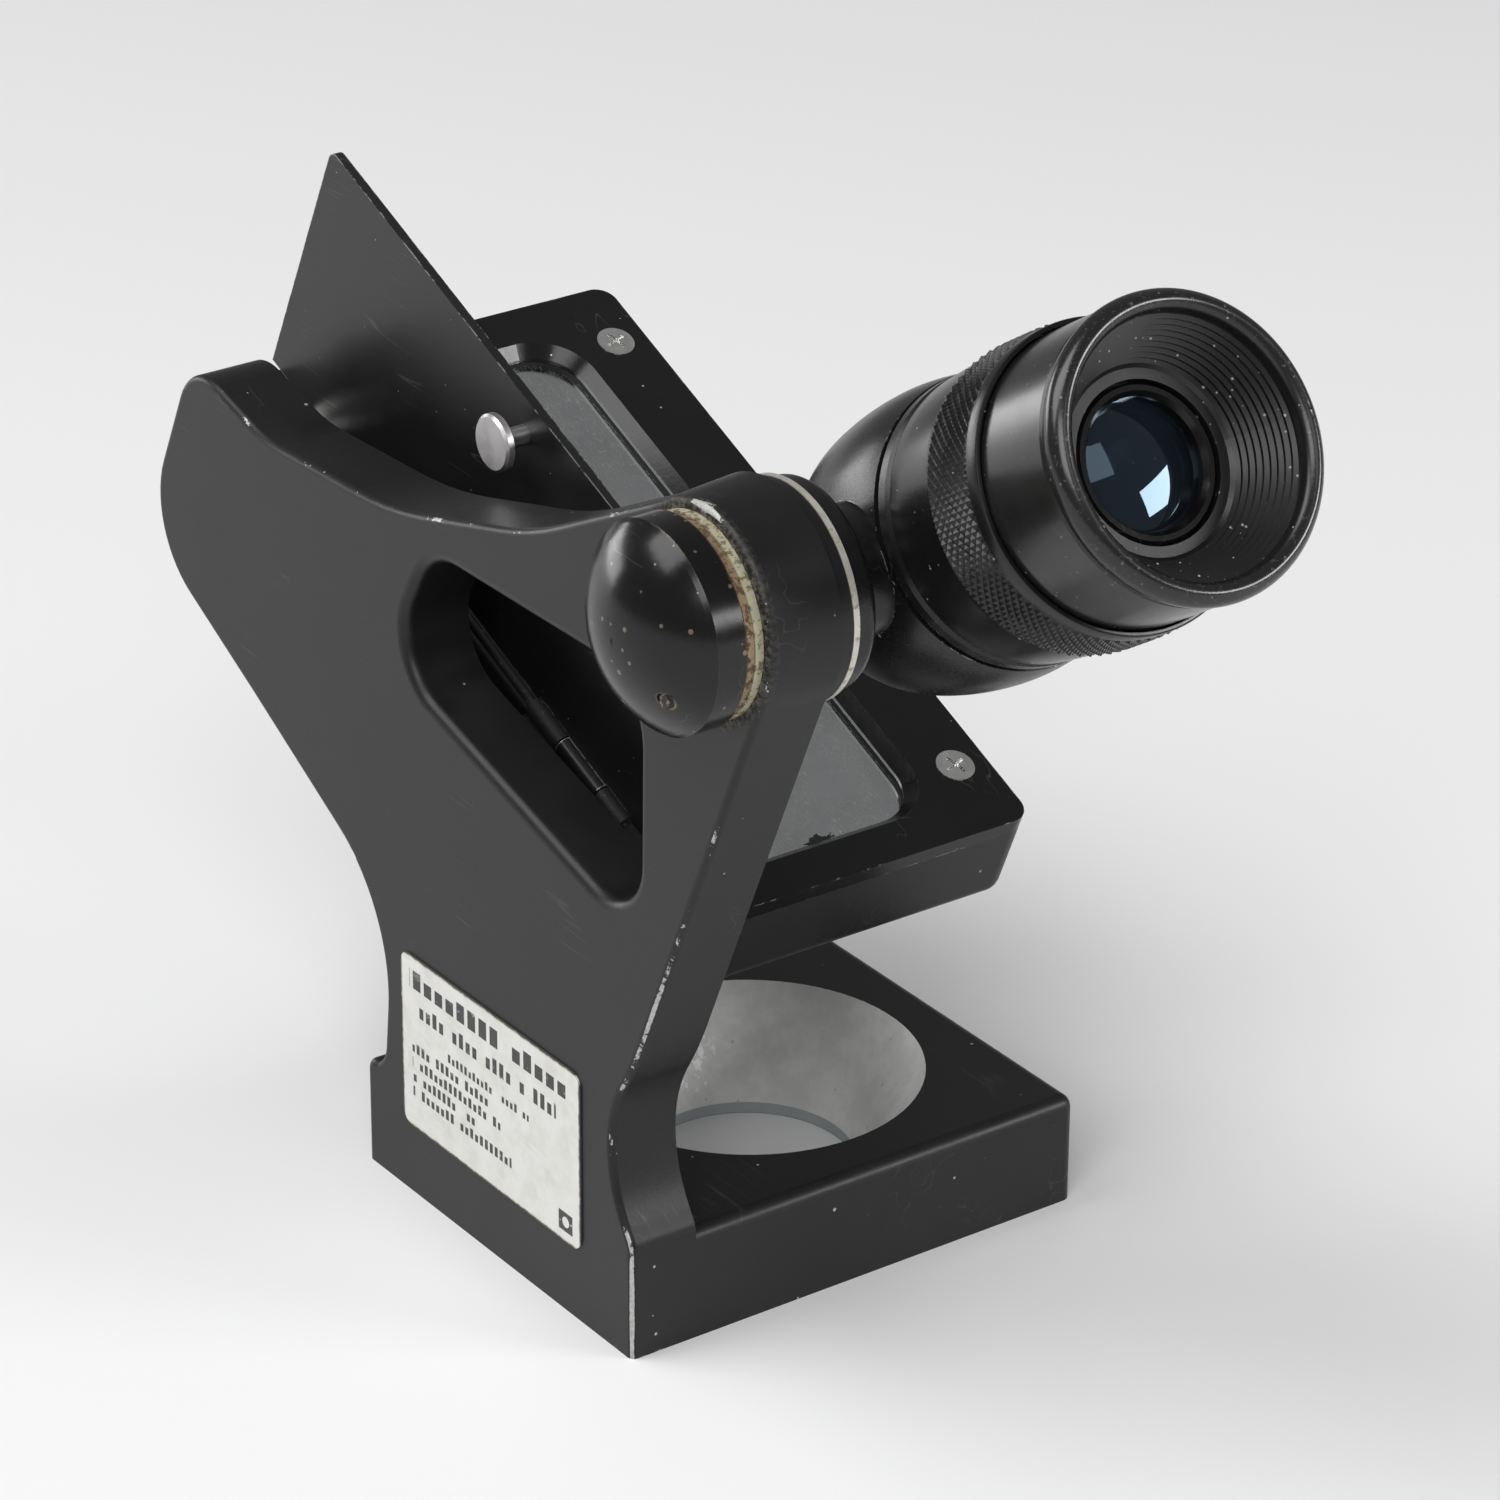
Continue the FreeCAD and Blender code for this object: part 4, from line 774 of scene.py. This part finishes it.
@dataclass(frozen=True)
class PrintedLabel:
    """White label with generic printed marks, worn and yellowed at its rim."""

    name: str
    left: float
    low: float
    width: float
    height: float

    @dataclass(frozen=True)
    class Line:
        """One printed line, placed as shares of the label, read from its upper left corner."""

        top: float
        tall: float
        start: float
        end: float
        letter: float
        weight: float

    lines: tuple["PrintedLabel.Line", ...] = (
        Line(0.08, 0.105, 0.05, 0.94, 2.80, 0.70),
        Line(0.25, 0.085, 0.09, 0.87, 1.70, 0.62),
        Line(0.42, 0.048, 0.24, 0.72, 1.05, 0.60),
        Line(0.50, 0.056, 0.06, 0.50, 1.25, 0.62),
        Line(0.585, 0.056, 0.06, 0.56, 1.25, 0.62),
        Line(0.67, 0.056, 0.06, 0.44, 1.25, 0.62),
        Line(0.755, 0.056, 0.06, 0.62, 1.25, 0.62),
    )

    def build(self) -> bpy.types.Material:
        """Make the material."""
        graph = Graph(self.name)
        at = graph.place
        across = (self.left - at.part(Axis.Y)) / self.width
        down = 1.0 - (at.part(Axis.Z) - self.low) / self.height
        ink: Value | None = None
        for number, line in enumerate(self.lines):
            step = across * (self.width / line.letter) + 0.37 * number
            block, inner = step.floor(), step.wrapped()
            chance = self._random(graph, self._pair(graph, block, 1.0 * number))
            rise = (line.top + line.tall * 0.26 * chance.below(0.45))
            row = (down - rise).above(0.0) * down.below(line.top + line.tall)
            row = row * across.above(line.start) * across.below(line.end)
            word = self._random(graph, self._pair(graph, block + 0.5, 31.0 + number)).below(0.84)
            mark = row * word * inner.above(0.14) * inner.below(0.14 + line.weight)
            ink = mark if ink is None else ink.most(mark)
        badge = across.above(0.88) * across.below(0.955) * down.above(0.83) * down.below(0.94)
        hole = ((across - 0.918) * (self.width / self.height)) ** 2.0 + (down - 0.885) ** 2.0
        ink = ink.most(badge * hole.above(0.0009))
        worn = graph.noise(at, 1.0, 5.0, 0.7)
        near = (0.5 - abs(across - 0.5)).least((0.5 - abs(down - 0.5)) * 0.62)
        rim = near.ramp(0.02, 0.0)
        grime = graph.noise(at, 4.0, 5.0, 0.65)
        paper = graph.blend(grime.ramp(0.35, 0.8), (0.66, 0.66, 0.63), (0.56, 0.555, 0.52))
        paper = graph.blend((rim * 0.8 + worn * 0.6).ramp(0.62, 0.9), paper, (0.40, 0.34, 0.24))
        wear_and_sheen = worn.ramp(0.60, 0.70)
        colour = graph.blend(ink * (1.0 - wear_and_sheen * 0.8), paper, (0.035, 0.035, 0.035))
        tear = (rim + worn).ramp(1.30, 1.36)
        colour = graph.blend(tear, colour, (0.05, 0.05, 0.05))
        scuff = graph.scratches(at, (30.0, 10.0, 0.0), 1.6, 0.5)
        colour = graph.blend(scuff * 0.3, colour, (0.45, 0.44, 0.41))
        return graph.shade(Base_Color=colour, Roughness=0.42 + grime * 0.2,
                           Normal=graph.bump(worn, 0.01, 0.4))

    @staticmethod
    def _pair(graph: Graph, first: Value, second: Value | Number) -> Point:
        """Two numbers as one place."""
        node = graph.add("ShaderNodeCombineXYZ", {}, {0: first, 1: second})
        return Point(graph, node.outputs[0])

    @staticmethod
    def _random(graph: Graph, key: Point) -> Value:
        """A number between 0 and 1 that belongs to a place."""
        node = graph.add("ShaderNodeTexWhiteNoise", {"noise_dimensions": "3D"}, {"Vector": key})
        return Value(graph, node.outputs[0])


@dataclass(frozen=True)
class DustyKnurl(Enamel):
    """Anodised ring with pale dust in the knurl and rubbed crests."""

    axis: TurnedAxis | None = None
    knurl_start: float = 0.0
    knurl_end: float = 0.0
    crest: float = 0.0

    def build(self) -> bpy.types.Material:
        """Make the material."""
        graph = Graph(self.name)
        at = graph.place
        colour, rough, fine = self.base(graph)
        along, radial = graph.turned(at, self.axis.point, self.axis.along)
        band = along.above(self.knurl_start) * along.below(self.knurl_end)
        top = radial.ramp(self.crest - 0.10, self.crest - 0.01) * band
        low = radial.ramp(self.crest - 0.34, self.crest - 0.46) * band
        patch = graph.noise(at, 6.0, 3.0)
        wear_and_sheen = top * patch.ramp(0.30, 0.62)
        dirt = low * graph.noise(at, 3.5, 3.0).ramp(0.38, 0.66)
        colour = graph.blend(wear_and_sheen * 0.12, colour, (0.16, 0.155, 0.15))
        colour = graph.blend(dirt * 0.3, colour, (0.12, 0.115, 0.105))
        lint = graph.specks(at, 1.3, 0.2, 0.4)
        colour = graph.blend(lint * 0.7, colour, (0.45, 0.44, 0.42))
        return graph.shade(
            Base_Color=colour, Roughness=(rough + dirt * 0.3 + lint * 0.3).least(0.95), Metallic=wear_and_sheen * 0.1,
            Specular_IOR_Level=self.specular,
            Normal=graph.bump(fine, 0.008, 0.6))


# ------------------------------------------------------------------ sub-assemblies
class Finish(Protocol):
    """Anything that makes a material."""

    def build(self) -> bpy.types.Material:
        """Make the material."""


def box_of(name: str) -> tuple[Vector, Vector]:
    """Lowest and highest corner of a CAD node, in millimetres."""
    low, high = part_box(name)
    return low / MM, high / MM


@dataclass
class Assembly:
    """A group of CAD nodes that is dressed together."""

    nodes: dict[str, bpy.types.Object]

    def paint(self, finish: Finish, *names: str) -> None:
        """Put one finish on the named nodes.

        Args:
            finish: the finish.
            names: the nodes.
        """
        material = finish.build()
        for name in names:
            mesh_object = self.nodes[name]
            mesh_object.data.materials.clear()
            mesh_object.data.materials.append(material)
            LOG.info("%s: %s", name, material.name)


@dataclass
class Casting(Assembly):
    """The cast frame and the label on its arm."""

    pivot: Vector
    base_half_depth: float = 33.5

    def spots(self) -> tuple[Spot, ...]:
        """Where the paint is most worn, from the base's corners and from the pivot."""
        low, high = box_of("frame_casting")
        boss = Vector((low.x, self.pivot.y, self.pivot.z))
        return (Spot(Vector((low.x, -self.base_half_depth, 8.0)), 16.0, 1.5),
                Spot(boss + Vector((0.4, -0.6, 15.1)), 4.5, 3.0),
                Spot(boss + Vector((0.0, 13.4, -56.2)), 30.0, 0.75),
                Spot(Vector((high.x, -self.base_half_depth, 14.0)), 6.0, 0.7),
                Spot(boss + Vector((5.0, 111.4, -12.2)), 9.0, 0.5))

    def dress(self) -> None:
        """Paint the casting and print the label."""
        face = box_of("frame_casting")[0].x
        boss = Vector((face, self.pivot.y, self.pivot.z))
        self.paint(CastingPaint("casting_satin_paint", boss=boss, wear=0.2, spots=self.spots()),
                   "frame_casting")
        low, high = box_of("side_label")
        self.paint(PrintedLabel("label_print", left=high.y, low=low.z, width=high.y - low.y,
                                height=high.z - low.z), "side_label")


@dataclass
class MirrorStack(Assembly):
    """The mirror in its tray: plate, gasket, glass, backing and screws."""

    line: TurnedAxis

    def dress(self) -> None:
        """Silver the glass and paint what holds it."""
        low, high = box_of("mirror_glass")
        self.paint(FrontMirror("mirror_silver", line=self.line, centre_x=(low.x + high.x) / 2),
                   "mirror_glass")
        self.paint(Enamel("plate_gloss_black", colour=(0.005, 0.005, 0.005), roughness=0.2, edge_reach=0.5,
                          grain=0.6, grain_depth=0.004, dust=0.2, wear=0.35), "mirror_face_plate")
        self.paint(Enamel("gasket_strip", colour=(0.012, 0.012, 0.012), roughness=0.8, wear=0.0),
                   "mirror_gasket", "mirror_backing")
        self.paint(BareMetal("screw_nickel", colour=(0.95, 0.95, 0.93), stained=0.05, roughness=0.22),
                   "face_plate_screws")


@dataclass
class Flap(Assembly):
    """The flap over the mirror, with its hinge and knob."""

    def dress(self) -> None:
        """Colour the hinge near-black, as blackened steel darkened further into painted shade inside the
        arm's window; paint the flap and plate the knob.
        """
        # painted shade: the hinge colour is blackened steel darkened further and made non-metallic, so the
        # pins read as shade inside the arm's window
        self.paint(BareMetal("hinge_black_and_painted_shade", colour=(0.008, 0.008, 0.008), stained=0.1, roughness=0.6,
                             metallic=0.0), "cover_hinge_leaves", "cover_hinge_pin", "cover_hinge_rivets")
        self.paint(Enamel("cover_satin_paint", colour=(0.008, 0.0082, 0.008), roughness=0.34, edge_reach=0.45,
                          wear=0.6, grain=0.5, grain_depth=0.006), "mirror_cover")
        self.paint(BareMetal("knob_nickel", colour=(0.60, 0.58, 0.58), stained=0.05, roughness=0.36),
                   "cover_knob")


@dataclass
class PivotStack(Assembly):
    """Shaft, bush, washers and dome nut that clamp the eyepiece."""

    def dress(self) -> None:
        """Give each turned piece its metal, and enamel the nut."""
        self.paint(BareMetal("bush_brass", colour=(0.60, 0.45, 0.22), stained=0.2), "pivot_bush")
        self.paint(BareMetal("washer_fibre", colour=(0.42, 0.40, 0.28), stain=(0.16, 0.12, 0.07),
                             stained=0.35, roughness=0.7, metallic=0.0), "fibre_washer")
        self.paint(BareMetal("washer_bronze", colour=(0.34, 0.24, 0.14), stain=(0.10, 0.06, 0.035),
                             stained=0.4, roughness=0.5, metallic=0.5), "spring_washer")
        self.paint(BareMetal("thrust_alloy", colour=(0.66, 0.64, 0.57), stain=(0.22, 0.15, 0.08),
                             stained=0.22, roughness=0.42, metallic=0.6), "thrust_washer")
        self.paint(BareMetal("shaft_steel", colour=(0.42, 0.42, 0.42), stained=0.1),
                   "pivot_shaft", "ring_clip")
        self.paint(BareMetal("lock_steel", colour=(0.06, 0.06, 0.06), stained=0.3, roughness=0.6),
                   "nut_lock_screw")
        low, high = box_of("pivot_dome_nut")
        top = Vector((high.x - 4.45, (low.y + high.y) / 2 - 2.6, high.z - 0.9))
        self.paint(Enamel("nut_black_enamel", colour=(0.004, 0.004, 0.004), roughness=0.2, edge_reach=0.8,
                          nicks=0.5, nick_spacing=2.0, nick_radius=0.5, metal=(0.27, 0.21, 0.15), wear=0.95,
                          grain=0.9, grain_depth=0.004, spots=(Spot(top, 8.0, 1.1),)), "pivot_dome_nut")


@dataclass
class Eyepiece(Assembly):
    """The tilting eyepiece: housing, lens train and eyecup."""

    axis: TurnedAxis

    def dress(self) -> None:
        """Paint housing and tubes, coat the lenses and mould the eyecup."""
        self.paint(Enamel("eyepiece_black", colour=(0.006, 0.0062, 0.0062), roughness=0.27, edge_reach=0.5,
                          wear=0.4, grain=0.4, grain_depth=0.006, dust=0.25),
                   "eyepiece_housing", "barrel_sleeve")
        self.paint(Enamel("tube_matt_black", colour=(0.008, 0.008, 0.008), roughness=0.6, wear=0.0, dust=0.3),
                   "lens_tube", "reticle_retainer", "field_lens_retainer", "lens_spacer", "eye_lens_cell")
        self.paint(Enamel("retainer_gloss_black", colour=(0.004, 0.004, 0.004), roughness=0.16, wear=0.1,
                          edge_reach=0.3, grain_depth=0.002), "eye_lens_retainer")
        self.paint(Moulded("eyecup_moulding", self.axis), "eyecup")
        self.paint(CoatedGlass("eye_lens_coated"), "eye_lens")
        self.paint(CoatedGlass("inner_lens_coated", tint=(0.5, 0.6, 0.7), clear=0.9),
                   "field_lens", "reticle_glass")


@dataclass
class FocusRing:
    """Knurled focusing ring, turned with a real diamond knurl."""

    axis: TurnedAxis
    start: float = 11.7
    knurl_start: float = 22.4
    knurl_end: float = 31.6
    front: float = 34.2
    start_radius: float = 19.6
    radius: float = 20.8
    bore: float = 17.56
    cup_bore: float = 19.9
    cup_floor: float = 28.8
    teeth: int = 84
    rows: float = 6.5
    depth: float = 0.55
    steps_per_tooth: int = 10
    steps_along: int = 66

    def profile(self) -> list[tuple[float, float]]:
        """Smooth part of the outline as (radius, station), from the bore's rear lip to the knurl, then on."""
        return [(self.bore, self.start), (self.start_radius - 0.5, self.start),
                (self.start_radius - 0.12, self.start + 0.14), (self.start_radius, self.start + 0.6),
                (self.start_radius + 0.2, self.start + 3.4), (self.radius - 0.6, self.knurl_start - 1.0),
                (self.radius - 0.6, self.knurl_start - 0.3)]

    def lip(self) -> list[tuple[float, float]]:
        """Outline from the knurl's front to the recess for the eyecup."""
        return [(self.radius - 0.3, self.knurl_end + 0.3), (self.radius - 0.3, self.front - 0.3),
                (self.radius - 0.38, self.front - 0.08), (self.radius - 0.6, self.front),
                (self.cup_bore, self.front), (self.cup_bore, self.cup_floor), (self.bore, self.cup_floor)]

    def height(self, angle: float, station: float) -> float:
        """Radius of the knurled band.

        Args:
            angle: bearing in radians.
            station: distance from the pivot.

        Returns:
            The radius at that place.
        """
        round_part = angle * self.teeth / math.tau
        along_part = (station - self.knurl_start) / (self.knurl_end - self.knurl_start) * self.rows
        first = abs(((round_part + along_part) % 1.0) - 0.5) * 2.0
        second = abs(((round_part - along_part) % 1.0) - 0.5) * 2.0
        diamond = 1.0 - max(first, second)
        diamond = min(1.0, diamond * 1.1)
        runout = min(station - self.knurl_start, self.knurl_end - station)
        bevel = min(1.0, max(0.0, runout / 0.35))
        return self.radius - self.depth * (1.0 - diamond * bevel)

    def build(self) -> bpy.types.Object:
        """Make the ring as one closed mesh, riding with the focusing collar.

        Returns:
            The ring's object.
        """
        around = self.teeth * self.steps_per_tooth
        loops: list[list[tuple[float, float]]] = []
        for radius, station in self.profile():
            loops.append([(radius, station)] * around)
        for i in range(self.steps_along + 1):
            station = self.knurl_start + (self.knurl_end - self.knurl_start) * i / self.steps_along
            loops.append([(self.height(math.tau * k / around, station), station) for k in range(around)])
        for radius, station in self.lip():
            loops.append([(radius, station)] * around)
        points = [self.axis.place(station, radius, math.tau * k / around)
                  for loop in loops for k, (radius, station) in enumerate(loop)]
        faces = []
        count = len(loops)
        for i in range(count):
            ahead = (i + 1) % count
            for k in range(around):
                beside = (k + 1) % around
                here, there = i * around, ahead * around
                faces.append((here + k, here + beside, there + beside, there + k))
        mesh = bpy.data.meshes.new("focus_ring_knurled")
        mesh.from_pydata([tuple(p) for p in points], [], faces)
        mesh.update()
        work = bmesh.new()
        work.from_mesh(mesh)
        bmesh.ops.recalc_face_normals(work, faces=work.faces)
        work.to_mesh(mesh)
        work.free()
        mesh.shade_smooth()
        mesh.set_sharp_from_angle(angle=math.radians(28.0))
        ring = bpy.data.objects.new("focus_ring_knurled", mesh)
        bpy.context.scene.collection.objects.link(ring)
        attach(ring, "focus_collar")
        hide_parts("focus_ring")
        ring.data.materials.append(DustyKnurl(
            "ring_black_anodised", axis=self.axis, knurl_start=self.knurl_start, knurl_end=self.knurl_end,
            crest=self.radius, colour=(0.005, 0.0052, 0.0052), roughness=0.24, grain=0.4).build())
        LOG.info("focus ring: %d faces", len(mesh.polygons))
        return ring


# ------------------------------------------------------------------ studio
@dataclass
class Camera:
    """The camera, placed from the middle of the object's box."""

    aim_from_middle: tuple[float, float, float] = (3.1, -5.45, -6.8)
    heading: float = 35.53
    dip: float = 26.4
    roll: float = 0.35
    distance: float = 815.8
    focal_length: float = 143.9

    def build(self, low: Vector, high: Vector) -> bpy.types.Object:
        """Make the scene's camera.

        Args:
            low: lowest corner of the object's box, in metres.
            high: highest corner.

        Returns:
            The camera object.
        """
        aim = (low + high) / 2.0 + Vector(self.aim_from_middle) * MM
        heading, dip = math.radians(self.heading), math.radians(self.dip)
        level = math.cos(dip)
        forward = Vector((math.sin(heading) * level, math.cos(heading) * level, -math.sin(dip)))
        data = bpy.data.cameras.new("camera")
        data.sensor_width = 36.0
        data.lens = self.focal_length
        data.clip_start = 0.01
        data.clip_end = 60.0
        camera = bpy.data.objects.new("camera", data)
        turn = forward.to_track_quat("-Z", "Y").to_matrix().to_4x4()
        spin = Matrix.Rotation(math.radians(self.roll), 4, "Z")
        camera.matrix_world = Matrix.Translation(aim - forward * self.distance * MM) @ turn @ spin
        bpy.context.scene.collection.objects.link(camera)
        bpy.context.scene.camera = camera
        return camera


@dataclass(frozen=True)
class Panel:
    """One soft light panel, aimed at a point of the object."""

    name: str
    at: tuple[float, float, float]
    size: tuple[float, float]
    power: float
    spread: float = 180.0

    def build(self, aim: Vector) -> bpy.types.Object:
        """Make the light.

        Args:
            aim: the point that it faces, in metres.

        Returns:
            The light object.
        """
        data = bpy.data.lights.new(self.name, "AREA")
        data.shape = "RECTANGLE"
        data.size, data.size_y = self.size
        data.energy = self.power
        data.spread = math.radians(self.spread)
        light = bpy.data.objects.new(self.name, data)
        place = Vector(self.at)
        turn = (aim - place).to_track_quat("-Z", "Y").to_matrix().to_4x4()
        light.matrix_world = Matrix.Translation(place) @ turn
        bpy.context.scene.collection.objects.link(light)
        return light


@dataclass
class Studio:
    """Pale floor, dim surroundings and soft panels."""

    floor_reach: float = 14.0
    floor_colour: Colour = (0.80, 0.80, 0.805)
    surround: Colour = (0.22, 0.22, 0.222)
    panels: tuple[Panel, ...] = (
        Panel("key_left_front", (-1.2, -1.1, 1.5), (1.3, 1.1), 22.0),
        Panel("overhead_left", (-0.9, 0.5, 1.6), (1.1, 1.4), 23.0),
        Panel("back_left", (-0.75, 2.0, 0.32), (1.2, 0.5), 10.0),
        Panel("front_fill", (0.15, -1.6, 1.55), (1.0, 0.6), 3.5),
        Panel("window_right", (0.95, -1.05, 0.50), (0.62, 0.30), 10.0),
    )

    def build(self, aim: Vector) -> None:
        """Make floor, surroundings and panels.

        Args:
            aim: the point that the panels face, in metres.
        """
        reach = self.floor_reach
        mesh = bpy.data.meshes.new("floor")
        square = [(-reach, -reach, 0.0), (reach, -reach, 0.0), (reach, reach, 0.0), (-reach, reach, 0.0)]
        mesh.from_pydata(square, [], [(0, 1, 2, 3)])
        floor = bpy.data.objects.new("floor", mesh)
        bpy.context.scene.collection.objects.link(floor)
        floor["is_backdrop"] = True
        graph = Graph("studio_floor")
        cloud = graph.noise(graph.place, 900.0, 2.0)
        colour = graph.blend(cloud, self.floor_colour, tuple(c * 0.985 for c in self.floor_colour))
        mesh.materials.append(graph.shade(Base_Color=colour, Roughness=0.55))
        world = bpy.data.worlds.new("surroundings")
        world.use_nodes = True
        ground = world.node_tree.nodes["Background"]
        ground.inputs["Color"].default_value = (*self.surround, 1.0)
        ground.inputs["Strength"].default_value = 1.0
        bpy.context.scene.world = world
        for panel in self.panels:
            panel.build(aim)
        bpy.context.scene.view_settings.view_transform = "Standard"


def main() -> None:
    """Build the scene round the frame."""
    logging.basicConfig(level=logging.INFO, format="%(name)s %(message)s")
    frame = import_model()
    cad_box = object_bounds()
    low, high = Vector(cad_box[0]), Vector(cad_box[1])
    nodes = frame["nodes"]
    joints = {joint["name"]: joint for joint in frame["joints"]}
    axis = TurnedAxis.of_joint(joints["focus_turn"])
    slope = TurnedAxis.of_joint(joints["cover_swing"])

    Casting(nodes, axis.point).dress()
    MirrorStack(nodes, slope).dress()
    Flap(nodes).dress()
    PivotStack(nodes).dress()
    Eyepiece(nodes, axis).dress()
    FocusRing(axis).build()

    camera = Camera().build(low, high)
    LOG.info("camera at %s", [round(v, 4) for v in camera.location])
    Studio().build((low + high) / 2.0)


if __name__ == "__main__":
    main()
